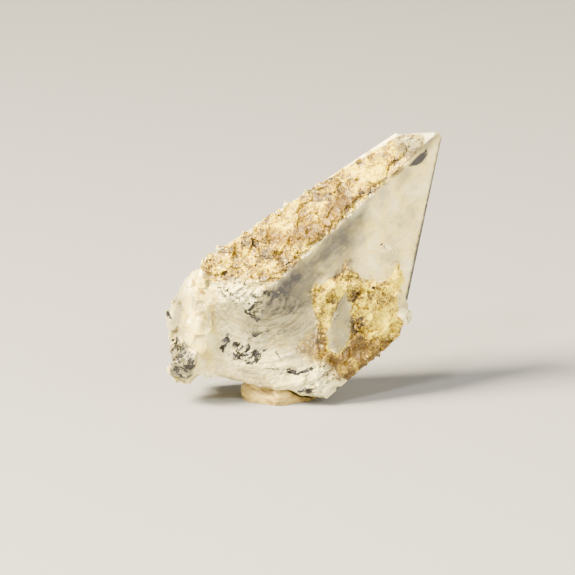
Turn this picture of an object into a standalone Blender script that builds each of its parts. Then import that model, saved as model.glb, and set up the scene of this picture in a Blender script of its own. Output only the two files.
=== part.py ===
"""A broken quartz crystal of Dauphine habit, propped on a lump of mounting putty.

The crystal is built in a frame of its own, whose Z is the c axis: X runs across it, towards
the one large rhombohedral face that gives the habit its chisel end, and Y runs from front to back.
Each flat face is a cleaving plane, given the way a crystallographer gives it: by its azimuth
round the c axis, the angle from the c axis to its normal, and its distance from the middle.
The finished solid is then turned into its standing pose, and set down with its lowest point,
the putty's flat underside, on the XY plane. Units are metres, +Z is up and the front faces -Y.
"""

import math
import random

import bmesh
import bpy
from mathutils import Matrix, Vector, geometry, noise

MM = 0.001

# How the specimen stands
AXIS_RISE = math.radians(40.4)  # from the horizontal up to the c axis, seen from the front
LEAN_BACK = math.radians(13.7)
MIDDLE_HEIGHT = 23.4 * MM  # of the crystal frame's origin above the surface it stands on

# Angles from the c axis to a face's normal. Quartz has 90 and 51.8 degrees;
# the prism faces of a tapering crystal fall a few degrees short of 90.
RHOMB = 51.8
PRISM = 90.0

# name, azimuth and angle from the c axis in degrees, distance from the middle in mm
CLEAN_FACES = (
    ("large_rhomb", 0, RHOMB, 19.25),
    ("crest_rhomb", 180, RHOMB, 23.9),
    ("back_right_rhomb", 62, RHOMB, 19.6),
    ("back_left_rhomb", 118, RHOMB, 22.4),
    ("tip_chip", 180, 10, 34.3),
    ("lower_prism", 0, PRISM, 20.0),
    ("upper_prism", 180, 82.9, 11.7),
    ("front_prism", -60, 84.3, 10.1),
    ("band_prism", -120, 86.6, 12.3),
    ("back_right_prism", 60, 86.0, 11.6),
    ("back_left_prism", 120, 87.0, 7.6),
    ("foot_end", 180, 130.0, 18.4),
)
BLOCK = 120 * MM  # the side of the raw block that the faces are cleaved from

# Rough breaks, each taken off with a cutter whose near face is uneven:
# azimuth and angle from the c axis in degrees, distance in mm, roughness in mm
FOOT_BREAK = (5, 142.0, 21.3, 1.1)
BAND_END_BREAK = (-98, 119.0, 15.9, 0.9)

# The flake that broke away at the lower left left a rippled, shell-like hollow.
# Its ripples ring the point that the break ran from, and the profile gives, in mm,
# how far from that point and how high over the mean plane of the break it lies.
SHELL_POINT = (-0.8, -12.0, -9.3)
SHELL_NORMAL = (-60.6, 113.6)
SHELL_PROFILE = ((0, -0.2), (3, -0.9), (6, -1.8), (9, -2.5), (12, -1.8), (15, -0.3), (20, 1.6), (40, 8.0))
RIPPLE_PITCHES = (2.6, 1.7)
RIPPLE_HEIGHT = 0.008  # over the distance from the point, so the ripples grow as they spread

# Corners in mm of the milky lobe at the foot, which grew as two chunks against the crystal
UPPER_CHUNK = (
    (-12.3, -3, -12.0), (-12.4, -2, -15.7), (-12.9, -1.5, -17.1), (-11.4, 0.5, -19.8),
    (-11.0, 0, -23.0), (-10.1, -1, -24.0), (-7.6, 0, -25.0), (-5.4, -1, -26.6),
    (-11.7, -6.5, -17.0), (-10.4, -6.0, -20.0), (-9.2, -8.6, -17.7), (-7.3, -6.5, -22.4),
    (-4.7, -8.8, -20.6), (-6.9, -8.4, -15.9), (-3.0, -6.5, -18.2), (0.2, -6.0, -21.4),
    (-3.3, -6.8, -24.1), (-0.2, -6.6, -23.5), (-7.1, 0, -11.9), (1.8, 0, -19.5),
    (-7.2, 6.5, -16.3), (-9.5, 5.0, -18.9), (-7.0, 5.5, -22.9), (-2.1, 6.0, -22.8),
    (-2.7, 7, -17.1), (-11.1, 4.0, -13.9), (-2.9, 1, -25.6),
)
LOWER_CHUNK = (
    (-5.8, -2.5, -26.3), (-4.0, -2.2, -28.0), (-1.9, -1.5, -30.0), (0, -1.0, -30.0),
    (2.4, -0.5, -28.8), (2.2, -1, -25.7), (1.3, -2, -23.5), (-0.5, -3, -20.9),
    (-4.2, -5.6, -25.7), (-2.7, -6.6, -25.4), (-2.3, -5.2, -28.0), (0.1, -6.4, -26.0),
    (0.8, -4.0, -28.5), (-1.2, -6.6, -23.6), (-0.7, -5, -22.5), (-3.1, 3, -27.6),
    (-1.0, 3.2, -28.9), (1.2, 3.6, -27.5), (-0.2, 4.5, -23.5), (-3.7, 4.8, -24.3), (-1.2, 3, -20.3),
)

# Outlines in mm, as X and Z, of the crusts of small crystals and of the bare window in one
BAND_CRUST = (
    (-2.2, -9.5), (-2.5, 2.0), (-3.2, 20.0), (-3.9, 28.5), (-7.6, 28.8), (-8.6, 22.0),
    (-10.5, 10.0), (-11.7, 0), (-12.6, -8.0), (-12.9, -13.5), (-9.5, -13.5), (-6.0, -11.0),
)
STAINED_CRUST = (
    (3.4, 6.8), (5.5, 6.7), (7.2, 7.1), (9.2, 8.3), (10.4, 10.3), (10.2, 12.6), (10.0, 14.0),
    (12.6, 12.6), (15.2, 9.4), (18.1, 5.6), (19.3, 3.6), (19.4, -2.0), (19.4, -8.0), (17.6, -9.3),
    (14.8, -9.3), (11.9, -8.2), (10.2, -9.6), (9.1, -9.4), (9.2, -5.9), (7.7, -3.7), (5.3, -2.7),
    (3.4, -1.6), (2.6, 0.5), (3.7, 1.1), (4.0, 3.9),
)
BARE_WINDOW = (
    (7.7, 3.2), (9.9, 2.5), (12.6, 0.1), (14.9, -2.8), (14.9, -4.7), (13.0, -5.0),
    (10.8, -2.8), (9.3, -0.1), (8.2, 1.8),
)

# Crystals that stand out of the lower right edge: foot in mm, direction, width in mm
EDGE_POINTS = (
    ((17.0, -1.0, 8.4), (1.0, -0.2, 0.35), 2.3),
    ((16.0, 0.8, 9.2), (1.0, 0.3, 0.6), 1.5),
    ((18.5, -0.8, 4.6), (1.0, -0.3, 0.4), 1.9),
    ((19.2, 1.2, 0.8), (1.0, 0.2, -0.2), 1.4),
    ((18.4, -0.8, -8.8), (0.5, -0.3, -1.2), 1.9),
)
# Growth ledges round the back: lower and upper Z, and how far they stand out, in mm
BACK_LEDGES = ((-6.8, -4.4, 0.16), (-1.2, -0.3, 0.2), (3.0, 6.2, 0.15), (10.4, 11.5, 0.2), (15.5, 17.0, 0.16))

DRUSE_SEED = 11
GRAIN_SINK = 0.3  # share of a small crystal's length that is buried in what it grows from
CRUST_CELL = 0.85  # mm between the lumps of the crust
CRUST_RELIEF = (0.1, 1.15)  # lowest and highest lump over the face it grew on, in mm

# The lump of putty: its size and where its middle stands under the crystal frame's origin, in mm
PUTTY_SIZE = (14.6, 12.2, 10.2)
PUTTY_TURN = math.radians(20)
PUTTY_MIDDLE = (-4.3, 0.9, 1.3)
PUTTY_FOLD = 1.1  # mm that the fold at the front stands out
# The seat is hollowed by the crystal moved these ways in mm, which leaves a clearance all round
SEAT_MOVES = ((0, 0, 0), (0, 0, -0.33), (0.3, 0, -0.1), (-0.3, 0, -0.1), (0, 0.3, -0.1), (0, -0.3, -0.1))


def face_normal(azimuth, from_axis):
    """The outward normal of a face, from its azimuth and its angle to the c axis in degrees."""
    azimuth = math.radians(azimuth)
    from_axis = math.radians(from_axis)
    across = math.sin(from_axis)
    return Vector((across * math.cos(azimuth), across * math.sin(azimuth), math.cos(from_axis)))


CLEAN_PLANES = {name: (face_normal(a, i), dist) for name, a, i, dist in CLEAN_FACES}


def depth_on(face, x, z):
    """The Y in mm at which a clean face lies behind the point X, Z."""
    normal, distance = CLEAN_PLANES[face]
    return (distance - normal.x * x - normal.z * z) / normal.y


def new_object(name, mesh_data, collection):
    """Writes a bmesh to a new object in a collection, and frees the bmesh."""
    mesh = bpy.data.meshes.new(name)
    mesh_data.to_mesh(mesh)
    mesh_data.free()
    obj = bpy.data.objects.new(name, mesh)
    collection.objects.link(obj)
    return obj


def cleave(block, normal, distance):
    """Cuts away what lies outside a plane, and closes the cut with one flat face."""
    cut = bmesh.ops.bisect_plane(
        block,
        geom=block.verts[:] + block.edges[:] + block.faces[:],
        dist=1e-7,
        plane_co=normal * distance,
        plane_no=normal,
        clear_outer=True,
    )
    rim = [piece for piece in cut["geom_cut"] if isinstance(piece, bmesh.types.BMEdge)]
    if rim:
        bmesh.ops.edgeloop_fill(block, edges=rim)


def cleaved_block(faces, size):
    """A block cut down by a list of faces, each (azimuth, angle from the c axis, distance in m)."""
    block = bmesh.new()
    bmesh.ops.create_cube(block, size=size)
    for azimuth, from_axis, distance in faces:
        cleave(block, face_normal(azimuth, from_axis), distance)
    bmesh.ops.recalc_face_normals(block, faces=block.faces)
    return block


def roughen(mesh_data, moved, reach, height, seed):
    """Moves points along their normals by fractal noise of a given reach and height."""
    offset = Vector((seed * 7.1, seed * 3.7, seed * 5.3))
    mesh_data.normal_update()
    shifts = []
    for vert in moved:
        value = noise.fractal(vert.co / reach + offset, 1.0, 2.0, 3)
        shifts.append((vert, vert.normal * value * height))
    for vert, shift in shifts:
        vert.co += shift


def main_crystal(collection):
    """The clean prism with its chisel end, before anything broke off or grew on it."""
    faces = [(azimuth, angle, distance * MM) for _, azimuth, angle, distance in CLEAN_FACES]
    return new_object("quartz_crystal", cleaved_block(faces, BLOCK), collection)


def chunk(name, corners, seed, collection):
    """A lump of milky quartz: the hull of its corners, with its facets dulled and uneven."""
    block = bmesh.new()
    for corner in corners:
        block.verts.new(Vector(corner) * MM)
    hull = bmesh.ops.convex_hull(block, input=block.verts)
    loose = [piece for piece in hull["geom_interior"] if isinstance(piece, bmesh.types.BMVert)]
    bmesh.ops.delete(block, geom=loose, context="VERTS")
    for _ in range(2):
        long_edges = [edge for edge in block.edges if edge.calc_length() > 2.6 * MM]
        bmesh.ops.subdivide_edges(block, edges=long_edges, cuts=1, use_grid_fill=False)
        bmesh.ops.triangulate(block, faces=block.faces)
    bmesh.ops.recalc_face_normals(block, faces=block.faces)
    roughen(block, block.verts, 3.2 * MM, 0.42 * MM, seed)
    return new_object(name, block, collection)


def fracture_cutter(name, break_face, seed, collection):
    """A block whose near face is a rough break, for taking off what lies beyond a plane."""
    azimuth, angle, distance, height = break_face
    normal = face_normal(azimuth, angle)
    size = 60 * MM
    block = bmesh.new()
    bmesh.ops.create_cube(block, size=size)
    bmesh.ops.subdivide_edges(block, edges=block.edges, cuts=31, use_grid_fill=True)
    near = [vert for vert in block.verts if vert.co.z < -0.499 * size]
    roughen(block, near, 4.5 * MM, height * MM, seed)
    turn = normal.to_track_quat("Z", "Y").to_matrix().to_4x4()
    place = Matrix.Translation(normal * (distance * MM + size / 2)) @ turn
    bmesh.ops.transform(block, matrix=place, verts=block.verts)
    bmesh.ops.recalc_face_normals(block, faces=block.faces)
    return new_object(name, block, collection)


def profile_height(radius):
    """The height in mm of the rippled break over its mean plane, at a distance from its point."""
    height = SHELL_PROFILE[-1][1]
    for (near, low), (far, high) in zip(SHELL_PROFILE, SHELL_PROFILE[1:]):
        if near <= radius <= far:
            share = (radius - near) / (far - near)
            height = low + (high - low) * share * share * (3 - 2 * share)
    waves = sum(math.cos(2 * math.pi * radius / pitch) for pitch in RIPPLE_PITCHES)
    return height + RIPPLE_HEIGHT * radius * waves


def shell_cutter(collection):
    """The rippled hollow's cutter: a profile turned about the axis that its ripples ring."""
    last = SHELL_PROFILE[-1][0]
    steps = 56
    radii = [last * (step / steps) ** 1.15 for step in range(steps + 1)]
    profile = [(radius, profile_height(radius)) for radius in radii]
    profile += [(last, 40.0), (0.0, 40.0)]
    mesh = bpy.data.meshes.new("shell_profile")
    points = [(radius * MM, 0, height * MM) for radius, height in profile]
    mesh.from_pydata(points, [(i, i + 1) for i in range(len(points) - 1)], [])
    obj = bpy.data.objects.new("shell_cutter", mesh)
    collection.objects.link(obj)
    turned = obj.modifiers.new("turned", "SCREW")
    turned.steps = turned.render_steps = 48
    turned.use_merge_vertices = True
    turned.merge_threshold = 1e-5
    turned.use_normal_calculate = True
    turned.use_normal_flip = True
    obj.rotation_mode = "QUATERNION"
    obj.rotation_quaternion = face_normal(*SHELL_NORMAL).to_track_quat("Z", "Y")
    obj.location = Vector(SHELL_POINT) * MM
    return obj


def quartz_point(grains, place, width, length, rng):
    """Adds one small crystal, a six-sided prism under an uneven point, to a bmesh of grains."""
    faces = [(60 * side, PRISM, width / 2 * rng.uniform(0.8, 1.15)) for side in range(6)]
    for side in range(3):
        tip = length * 0.618 * rng.uniform(0.72, 0.9)
        faces.append((120 * side + 60 * (side % 2), RHOMB + rng.uniform(-6, 6), tip))
    grain = cleaved_block(faces, 2 * length)
    cleave(grain, Vector((0, 0, -1)), GRAIN_SINK * length)
    bmesh.ops.transform(grain, matrix=place, verts=grain.verts)
    grain_mesh = bpy.data.meshes.new("grain")
    grain.to_mesh(grain_mesh)
    grain.free()
    grains.from_mesh(grain_mesh)
    bpy.data.meshes.remove(grain_mesh)


def standing_at(spot, direction, rng):
    """A placement at a spot in mm whose Z points along a direction, with a random spin."""
    turn = Vector(direction).normalized().to_track_quat("Z", "Y").to_matrix().to_4x4()
    spin = Matrix.Rotation(rng.uniform(0, math.pi), 4, "Z")
    return Matrix.Translation(Vector(spot) * MM) @ turn @ spin


def grown_on(face, x, z, tilt, rng):
    """A placement on a clean face, whose Z stands off the face and leans at random."""
    lean = Vector((rng.uniform(-tilt, tilt), rng.uniform(-tilt, tilt), rng.uniform(-tilt, tilt)))
    return standing_at((x, depth_on(face, x, z), z), CLEAN_PLANES[face][0] + lean, rng)


def margin(outline, x, z):
    """How far in mm a point lies inside an outline; below zero when it lies outside."""
    spot = Vector((x, z, 0))
    corners = [Vector((a, b, 0)) for a, b in outline]
    nearest = 1e9
    inside = False
    for start, end in zip(corners, corners[1:] + corners[:1]):
        closest, share = geometry.intersect_point_line(spot, start, end)
        closest = start if share < 0 else end if share > 1 else closest
        nearest = min(nearest, (spot - closest).length)
        if (start.y > z) != (end.y > z):
            if x < start.x + (end.x - start.x) * (z - start.y) / (end.y - start.y):
                inside = not inside
    return nearest if inside else -nearest


def on_band(x, z):
    """How far in mm a point lies inside the crusted band above the front ridge."""
    return margin(BAND_CRUST, x, z)


def on_stained_patch(x, z):
    """How far in mm a point lies inside the crust on the front face, clear of its window."""
    return min(margin(STAINED_CRUST, x, z), -margin(BARE_WINDOW, x, z))


def limits(outline):
    """The lowest and highest X, then the lowest and highest Z, of an outline."""
    xs, zs = zip(*outline)
    return min(xs), max(xs), min(zs), max(zs)


def scattered(count, spacing, inside, outline, rng):
    """Points X, Z inside a region, none nearer to another than the spacing."""
    low_x, high_x, low_z, high_z = limits(outline)
    found = []
    for _ in range(count * 40):
        x, z = rng.uniform(low_x, high_x), rng.uniform(low_z, high_z)
        if inside(x, z) < 0.35:
            continue
        if all((x - a) ** 2 + (z - b) ** 2 > spacing**2 for a, b in found):
            found.append((x, z))
        if len(found) == count:
            break
    return found


def crust_trimmer(name, face, outline, collection):
    """A prism on the crust's outline, right through the face that the crust grew on."""
    normal = CLEAN_PLANES[face][0]
    prism = bmesh.new()
    spots = [Vector((x, depth_on(face, x, z), z)) - normal * 4 for x, z in outline]
    bottom = prism.faces.new([prism.verts.new(spot * MM) for spot in spots])
    grown = bmesh.ops.extrude_face_region(prism, geom=[bottom])
    raised = [piece for piece in grown["geom"] if isinstance(piece, bmesh.types.BMVert)]
    bmesh.ops.translate(prism, vec=normal * 8 * MM, verts=raised)
    if not any(len(piece.verts) == len(outline) and piece.verts[0] not in raised for piece in prism.faces):
        prism.faces.new([vert for vert in prism.verts if vert not in raised])
    bmesh.ops.recalc_face_normals(prism, faces=prism.faces)
    return new_object(name, prism, collection)


def crust(name, face, inside, outline, seed, collection):
    """A crumbly crust on a clean face: a closed slab whose outer side is a field of lumps."""
    rng = random.Random(seed)
    low_x, high_x, low_z, high_z = limits(outline)
    normal = CLEAN_PLANES[face][0]
    columns = round((high_x - low_x + 2) / CRUST_CELL)
    rows = round((high_z - low_z + 2) / CRUST_CELL)
    low, high = CRUST_RELIEF
    block = bmesh.new()
    outer = {}
    inner = {}
    for i in range(columns + 1):
        for j in range(rows + 1):
            x = low_x - 1 + (high_x - low_x + 2) * (i + rng.uniform(-0.3, 0.3)) / columns
            z = low_z - 1 + (high_z - low_z + 2) * (j + rng.uniform(-0.3, 0.3)) / rows
            spot = Vector((x, depth_on(face, x, z), z))
            depth = inside(x, z)
            lump = rng.uniform(low, high) * min(1, 0.25 + depth) if depth > -0.2 else -0.5
            outer[i, j] = block.verts.new((spot + normal * lump) * MM)
            inner[i, j] = block.verts.new((spot - normal * 1.6) * MM)
    for i in range(columns):
        for j in range(rows):
            corners = ((i, j), (i + 1, j), (i + 1, j + 1), (i, j + 1))
            block.faces.new([outer[corner] for corner in corners])
            block.faces.new([inner[corner] for corner in reversed(corners)])
    rim = [edge for edge in block.edges if edge.is_boundary]
    bmesh.ops.bridge_loops(block, edges=rim)
    bmesh.ops.triangulate(block, faces=block.faces, quad_method="SHORT_EDGE")
    bmesh.ops.recalc_face_normals(block, faces=block.faces)
    obj = new_object(name, block, collection)
    boolean(obj, crust_trimmer(f"{name}_trimmer", face, outline, collection), "INTERSECT")
    return obj


def druse(collection):
    """The larger of the small crystals, grown on the band, the stained patch and the edges."""
    rng = random.Random(DRUSE_SEED)
    grains = bmesh.new()
    for x, z in scattered(66, 1.7, on_band, BAND_CRUST, rng):
        width = rng.uniform(1.4, 2.5) * (1.1 - 0.02 * max(z, 0)) * MM
        quartz_point(grains, grown_on("band_prism", x, z, 0.6, rng), width, width * 0.8, rng)
    for x, z in scattered(30, 2.0, on_stained_patch, STAINED_CRUST, rng):
        width = rng.uniform(1.2, 2.1) * MM
        quartz_point(grains, grown_on("front_prism", x, z, 0.7, rng), width, width * 0.7, rng)
    for spot, direction, width in EDGE_POINTS:
        quartz_point(grains, standing_at(spot, direction, rng), width * MM, width * 1.25 * MM, rng)
    return new_object("druse_form", grains, collection)


def back_ledges(collection):
    """Thin growth ledges on the back faces: slices of a crystal a little thicker at the back."""
    ledges = bmesh.new()
    for low, high, stand_out in BACK_LEDGES:
        faces = []
        for name, azimuth, angle, distance in CLEAN_FACES:
            grown = stand_out if name.startswith("back") and "prism" in name else -1.0
            faces.append((azimuth, angle, (distance + grown) * MM))
        slab = cleaved_block(faces, BLOCK)
        cleave(slab, Vector((0, 0, 1)), high * MM)
        cleave(slab, Vector((0, 0, -1)), -low * MM)
        slab_mesh = bpy.data.meshes.new("ledge")
        slab.to_mesh(slab_mesh)
        slab.free()
        ledges.from_mesh(slab_mesh)
        bpy.data.meshes.remove(slab_mesh)
    bmesh.ops.recalc_face_normals(ledges, faces=ledges.faces)
    return new_object("ledge_form", ledges, collection)


def putty_lump(collection):
    """The lump of putty, thumbed into a rounded block with a fold at the front."""
    lump = bmesh.new()
    bmesh.ops.create_icosphere(lump, subdivisions=3, radius=0.5)
    bmesh.ops.scale(lump, vec=Vector(PUTTY_SIZE) * MM, verts=lump.verts)
    bmesh.ops.rotate(lump, matrix=Matrix.Rotation(PUTTY_TURN, 3, "Z"), verts=lump.verts)
    roughen(lump, lump.verts, 4.2 * MM, 0.75 * MM, 4)
    for vert in lump.verts:
        near_fold = math.exp(-((vert.co.x / (1.6 * MM)) ** 2))
        if vert.co.y < 0:
            vert.co.y -= PUTTY_FOLD * MM * near_fold * min(1, -vert.co.y / (4 * MM))
    bmesh.ops.translate(lump, vec=Vector(PUTTY_MIDDLE) * MM, verts=lump.verts)
    cleave(lump, Vector((0, 0, -1)), 0)
    bmesh.ops.recalc_face_normals(lump, faces=lump.faces)
    return new_object("mounting_putty", lump, collection)


def finish(obj, name, colour, roughness):
    """Gives an object its own material."""
    material = bpy.data.materials.new(name)
    material.use_nodes = True
    shader = material.node_tree.nodes["Principled BSDF"]
    shader.inputs["Base Color"].default_value = (*colour, 1)
    shader.inputs["Roughness"].default_value = roughness
    obj.data.materials.append(material)


def world_corners(obj, depsgraph):
    """The corners of an object's finished shape, in world space."""
    finished = obj.evaluated_get(depsgraph)
    mesh = finished.to_mesh()
    corners = [obj.matrix_world @ vert.co for vert in mesh.vertices]
    finished.to_mesh_clear()
    return corners


def centre_over_origin(pieces, everything):
    """Moves everything sideways so that the pieces stand centred over the origin."""
    bpy.context.view_layer.update()
    depsgraph = bpy.context.evaluated_depsgraph_get()
    corners = [corner for piece in pieces for corner in world_corners(piece, depsgraph)]
    for axis in (0, 1):
        values = [corner[axis] for corner in corners]
        shift = (min(values) + max(values)) / 2
        for obj in everything:
            obj.location[axis] -= shift


def boolean(obj, other, operation, self_overlap=False):
    """Adds a Boolean to an object."""
    modifier = obj.modifiers.new(f"{operation.lower()} {other.name}", "BOOLEAN")
    modifier.object = other
    modifier.operation = operation
    modifier.solver = "EXACT"
    modifier.use_self = self_overlap


def build():
    """Clears the scene and builds the specimen."""
    for obj in list(bpy.data.objects):
        bpy.data.objects.remove(obj)
    specimen = bpy.data.collections.new("quartz_specimen")
    forms = bpy.data.collections.new("cutters_and_forms")
    for collection in (specimen, forms):
        bpy.context.scene.collection.children.link(collection)

    crystal = main_crystal(specimen)
    boolean(crystal, back_ledges(forms), "UNION", self_overlap=True)
    boolean(crystal, crust("band_crust", "band_prism", on_band, BAND_CRUST, 21, forms), "UNION")
    patch = crust("patch_crust", "front_prism", on_stained_patch, STAINED_CRUST, 22, forms)
    boolean(crystal, patch, "UNION")
    boolean(crystal, druse(forms), "UNION", self_overlap=True)
    boolean(crystal, fracture_cutter("band_end_break", BAND_END_BREAK, 5, forms), "DIFFERENCE")
    boolean(crystal, shell_cutter(forms), "DIFFERENCE")
    boolean(crystal, fracture_cutter("foot_break", FOOT_BREAK, 2, forms), "DIFFERENCE")
    boolean(crystal, chunk("upper_chunk", UPPER_CHUNK, 3, forms), "UNION")
    boolean(crystal, chunk("lower_chunk", LOWER_CHUNK, 7, forms), "UNION")
    finish(crystal, "quartz", (0.86, 0.82, 0.72), 0.2)

    stand = (
        Matrix.Translation((0, 0, MIDDLE_HEIGHT))
        @ Matrix.Rotation(-LEAN_BACK, 4, "X")
        @ Matrix.Rotation(math.pi / 2 - AXIS_RISE, 4, "Y")
    )
    for obj in [crystal, *forms.objects]:
        obj.matrix_world = stand @ obj.matrix_basis

    bpy.context.view_layer.update()
    finished = crystal.evaluated_get(bpy.context.evaluated_depsgraph_get())
    seat_mesh = bpy.data.meshes.new_from_object(finished)
    putty = putty_lump(specimen)
    for number, move in enumerate(SEAT_MOVES):
        seat = bpy.data.objects.new(f"putty_seat_{number}", seat_mesh)
        seat.matrix_world = Matrix.Translation(Vector(move) * MM) @ crystal.matrix_world
        forms.objects.link(seat)
        boolean(putty, seat, "DIFFERENCE")
    finish(putty, "putty", (0.72, 0.6, 0.38), 0.6)

    for obj in forms.objects:
        obj.hide_render = True
        obj.display_type = "WIRE"
    centre_over_origin([crystal, putty], [crystal, putty, *forms.objects])


build()
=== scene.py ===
"""The finished look of a broken quartz crystal of Dauphine habit on its lump of mounting putty.

The crystal is milky quartz that turns clear along its front ridge, with a sugary crust of small
crystals on the band above that ridge and an iron-stained crumb on the face below it. Its body
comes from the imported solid, remeshed finely enough to take ripples, hackles and growth marks.
Marks are outlined as they are seen square on from the front, in mm right of and above the
crystal's middle; the script turns each into a soft mask, which the materials read.
"""

import logging
import math
from dataclasses import dataclass, field
from enum import Enum
from functools import partial
from typing import Callable, Sequence

import bmesh
import bpy
import numpy as np
from bpy.types import ID, Material, Mesh, NodeSocket, NodeTree, Object
from mathutils import Matrix, Vector, noise


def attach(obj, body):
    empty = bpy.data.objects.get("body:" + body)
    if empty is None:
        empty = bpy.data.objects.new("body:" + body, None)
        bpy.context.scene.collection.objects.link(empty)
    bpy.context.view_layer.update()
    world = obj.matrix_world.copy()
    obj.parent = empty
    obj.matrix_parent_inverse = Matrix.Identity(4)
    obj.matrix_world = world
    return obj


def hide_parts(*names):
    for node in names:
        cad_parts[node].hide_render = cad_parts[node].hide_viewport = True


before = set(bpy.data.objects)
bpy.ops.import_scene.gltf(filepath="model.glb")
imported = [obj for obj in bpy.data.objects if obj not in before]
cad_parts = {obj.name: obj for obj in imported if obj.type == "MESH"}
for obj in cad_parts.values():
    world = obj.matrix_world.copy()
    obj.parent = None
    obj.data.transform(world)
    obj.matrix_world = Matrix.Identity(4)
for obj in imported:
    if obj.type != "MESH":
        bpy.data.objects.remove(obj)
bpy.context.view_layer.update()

LOG = logging.getLogger("quartz_crystal")
MM = 0.001
TINY = 1e-9
FAR = 1e9
QUARTZ_IOR = 1.544
LEAST_CHANCE = 1e-12  # added to every chance, so that none is zero
SOFT_STEP = {"interpolation_type": "SMOOTHSTEP"}
HELD = {"use_clamp": True}  # between 0 and 1
RGBA = {"data_type": "RGBA"}
RESULT = 2  # a colour mix's output; its inputs are 0, the share, and the colours, 6 and 7
Array = np.ndarray
Outline = Sequence[tuple[float, float]]
AddNode = Callable[..., NodeSocket]
Sockets = dict[str, NodeSocket]
Part = str | tuple  # a mask's or pattern's name, alone or first in a row with its range


class Habit(Enum):
    """The ways in which a small crystal of a crust can be shaped."""

    POINT = "six-sided point"
    CRUMB = "broken crumb"


# ---------------- the crystal's frame

@dataclass(frozen=True)
class CrystalAxes:
    """The frame in which the crystal was cleaved: across, back and along its c axis, in mm.

    Attributes:
        rise: Degrees from the horizontal up to the c axis, seen from the front.
        lean: Degrees that the crystal leans back, which is also the camera's height.
        middle: The frame's origin above the floor, in mm.
    """

    rise: float = 40.4
    lean: float = 13.7
    middle: tuple[float, float, float] = (0.1519, 0.8785, 23.4)

    def rows(self) -> Array:
        """Works out the frame's axes as the scene sees them.

        Returns:
            The unit vectors across, back and along the c axis, as rows.
        """
        a, e = math.radians(self.rise), math.radians(self.lean)
        return np.array((
            (math.sin(a), -math.cos(a) * math.sin(e), -math.cos(a) * math.cos(e)),
            (0.0, math.cos(e), -math.sin(e)),
            (math.cos(a), math.sin(a) * math.sin(e), math.sin(a) * math.cos(e)),
        ))

    def own(self, places: Array) -> Array:
        """Returns places in metres as across, back and along in mm."""
        return (places / MM - np.array(self.middle)) @ self.rows().T

    def seen(self, own: Array) -> tuple[Array, Array]:
        """Finds places in the square front view.

        Args:
            own: The places across, back and along in mm, one row each.

        Returns:
            How far right and how far up they lie, in mm.
        """
        a = math.radians(self.rise)
        across, along = own[:, 0], own[:, 2]
        return (across * math.sin(a) + along * math.cos(a),
                along * math.sin(a) - across * math.cos(a))

    def normal(self, azimuth: float, from_axis: float) -> Array:
        """Returns a face normal from its azimuth and its angle from the c axis, in degrees."""
        a, t = math.radians(azimuth), math.radians(from_axis)
        return np.array((math.sin(t) * math.cos(a), math.sin(t) * math.sin(a), math.cos(t)))


AXES = CrystalAxes()

# Each grown face: its azimuth, its degrees from the c axis, its distance from the middle in mm.
FRONT_FACE = (-60, 84.3, 10.1)
BAND_FACE = (-120, 86.6, 12.3)
GROWN_FACES = (
    (0, 51.8, 19.25), (180, 51.8, 23.9), (62, 51.8, 19.6), (118, 51.8, 22.4),
    (180, 10, 34.3), (0, 90, 20.0), (180, 82.9, 11.7), FRONT_FACE,
    BAND_FACE, (60, 86.0, 11.6), (120, 87.0, 7.6), (180, 130.0, 18.4),
)
SHELL_POINT = (-0.8, -12.0, -9.3)  # where the blow fell that broke the shell-like hollow out
SHELL_NORMAL = (-60.6, 113.6)
SHELL_PROFILE = (  # distance from the blow, and height of the broken surface there, in mm
    (0, -0.2), (3, -0.9), (6, -1.8), (9, -2.5), (12, -1.8), (15, -0.3), (20, 1.6), (40, 8.0),
)
BAND_CRUST = (
    (-1.6, -9.5), (-1.6, 2), (-2.2, 20), (-2.6, 30), (-4.5, 32), (-7.4, 29.5), (-7.8, 27), (-8.6, 22),
    (-10.5, 10), (-11.7, 0), (-12.6, -8), (-12.9, -13.5), (-9.5, -13.5), (-6, -11),
)
STAINED_CRUST = (
    (3.4, 6.8), (5.5, 6.7), (7.2, 7.1), (9.2, 8.3), (10.4, 10.3), (10.2, 12.6), (10.0, 14.0),
    (12.6, 12.6), (15.2, 9.4), (18.1, 5.6), (19.3, 3.6), (19.4, -2.0), (19.4, -8.0),
    (17.6, -9.3), (14.8, -9.3), (11.9, -8.2), (10.2, -9.6), (9.1, -9.4), (9.2, -5.9),
    (7.7, -3.7), (5.3, -2.7), (3.4, -1.6), (2.6, 0.5), (3.7, 1.1), (4.0, 3.9),
)
BARE_WINDOW = (
    (7.7, 3.2), (9.9, 2.7), (12.8, 0.3), (15.2, -2.8), (15.3, -5.0), (13.2, -5.8),
    (10.8, -3.8), (9.1, -0.9), (8.0, 1.4),
)


# ---------------- marks and masks

TURN_HASH, RISE_HASH = (12.9898, 78.233, 37.719), (63.72, 10.87, 51.23)  # scramble a facet's cell
HASH_SPREAD = 43758.5453


def smooth(value: Array, low: float, high: float) -> Array:
    """Returns 0 below low and 1 above high, with a soft step between them."""
    share = np.clip((value - low) / (high - low), 0.0, 1.0)
    return share * share * (3.0 - 2.0 * share)


def edge_distance(x: Array, z: Array, start: Sequence[float], end: Sequence[float]) -> Array:
    """Measures how far places lie from a straight line between two points.

    Args:
        x: How far right the places lie, in mm.
        z: How far up they lie, in mm.
        start: One end of the line.
        end: Its other end.

    Returns:
        The distances in mm.
    """
    (ax, az), (bx, bz) = start, end
    dx, dz = bx - ax, bz - az
    share = np.clip(((x - ax) * dx + (z - az) * dz) / max(dx * dx + dz * dz, TINY), 0.0, 1.0)
    return np.hypot(x - ax - share * dx, z - az - share * dz)


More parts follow.
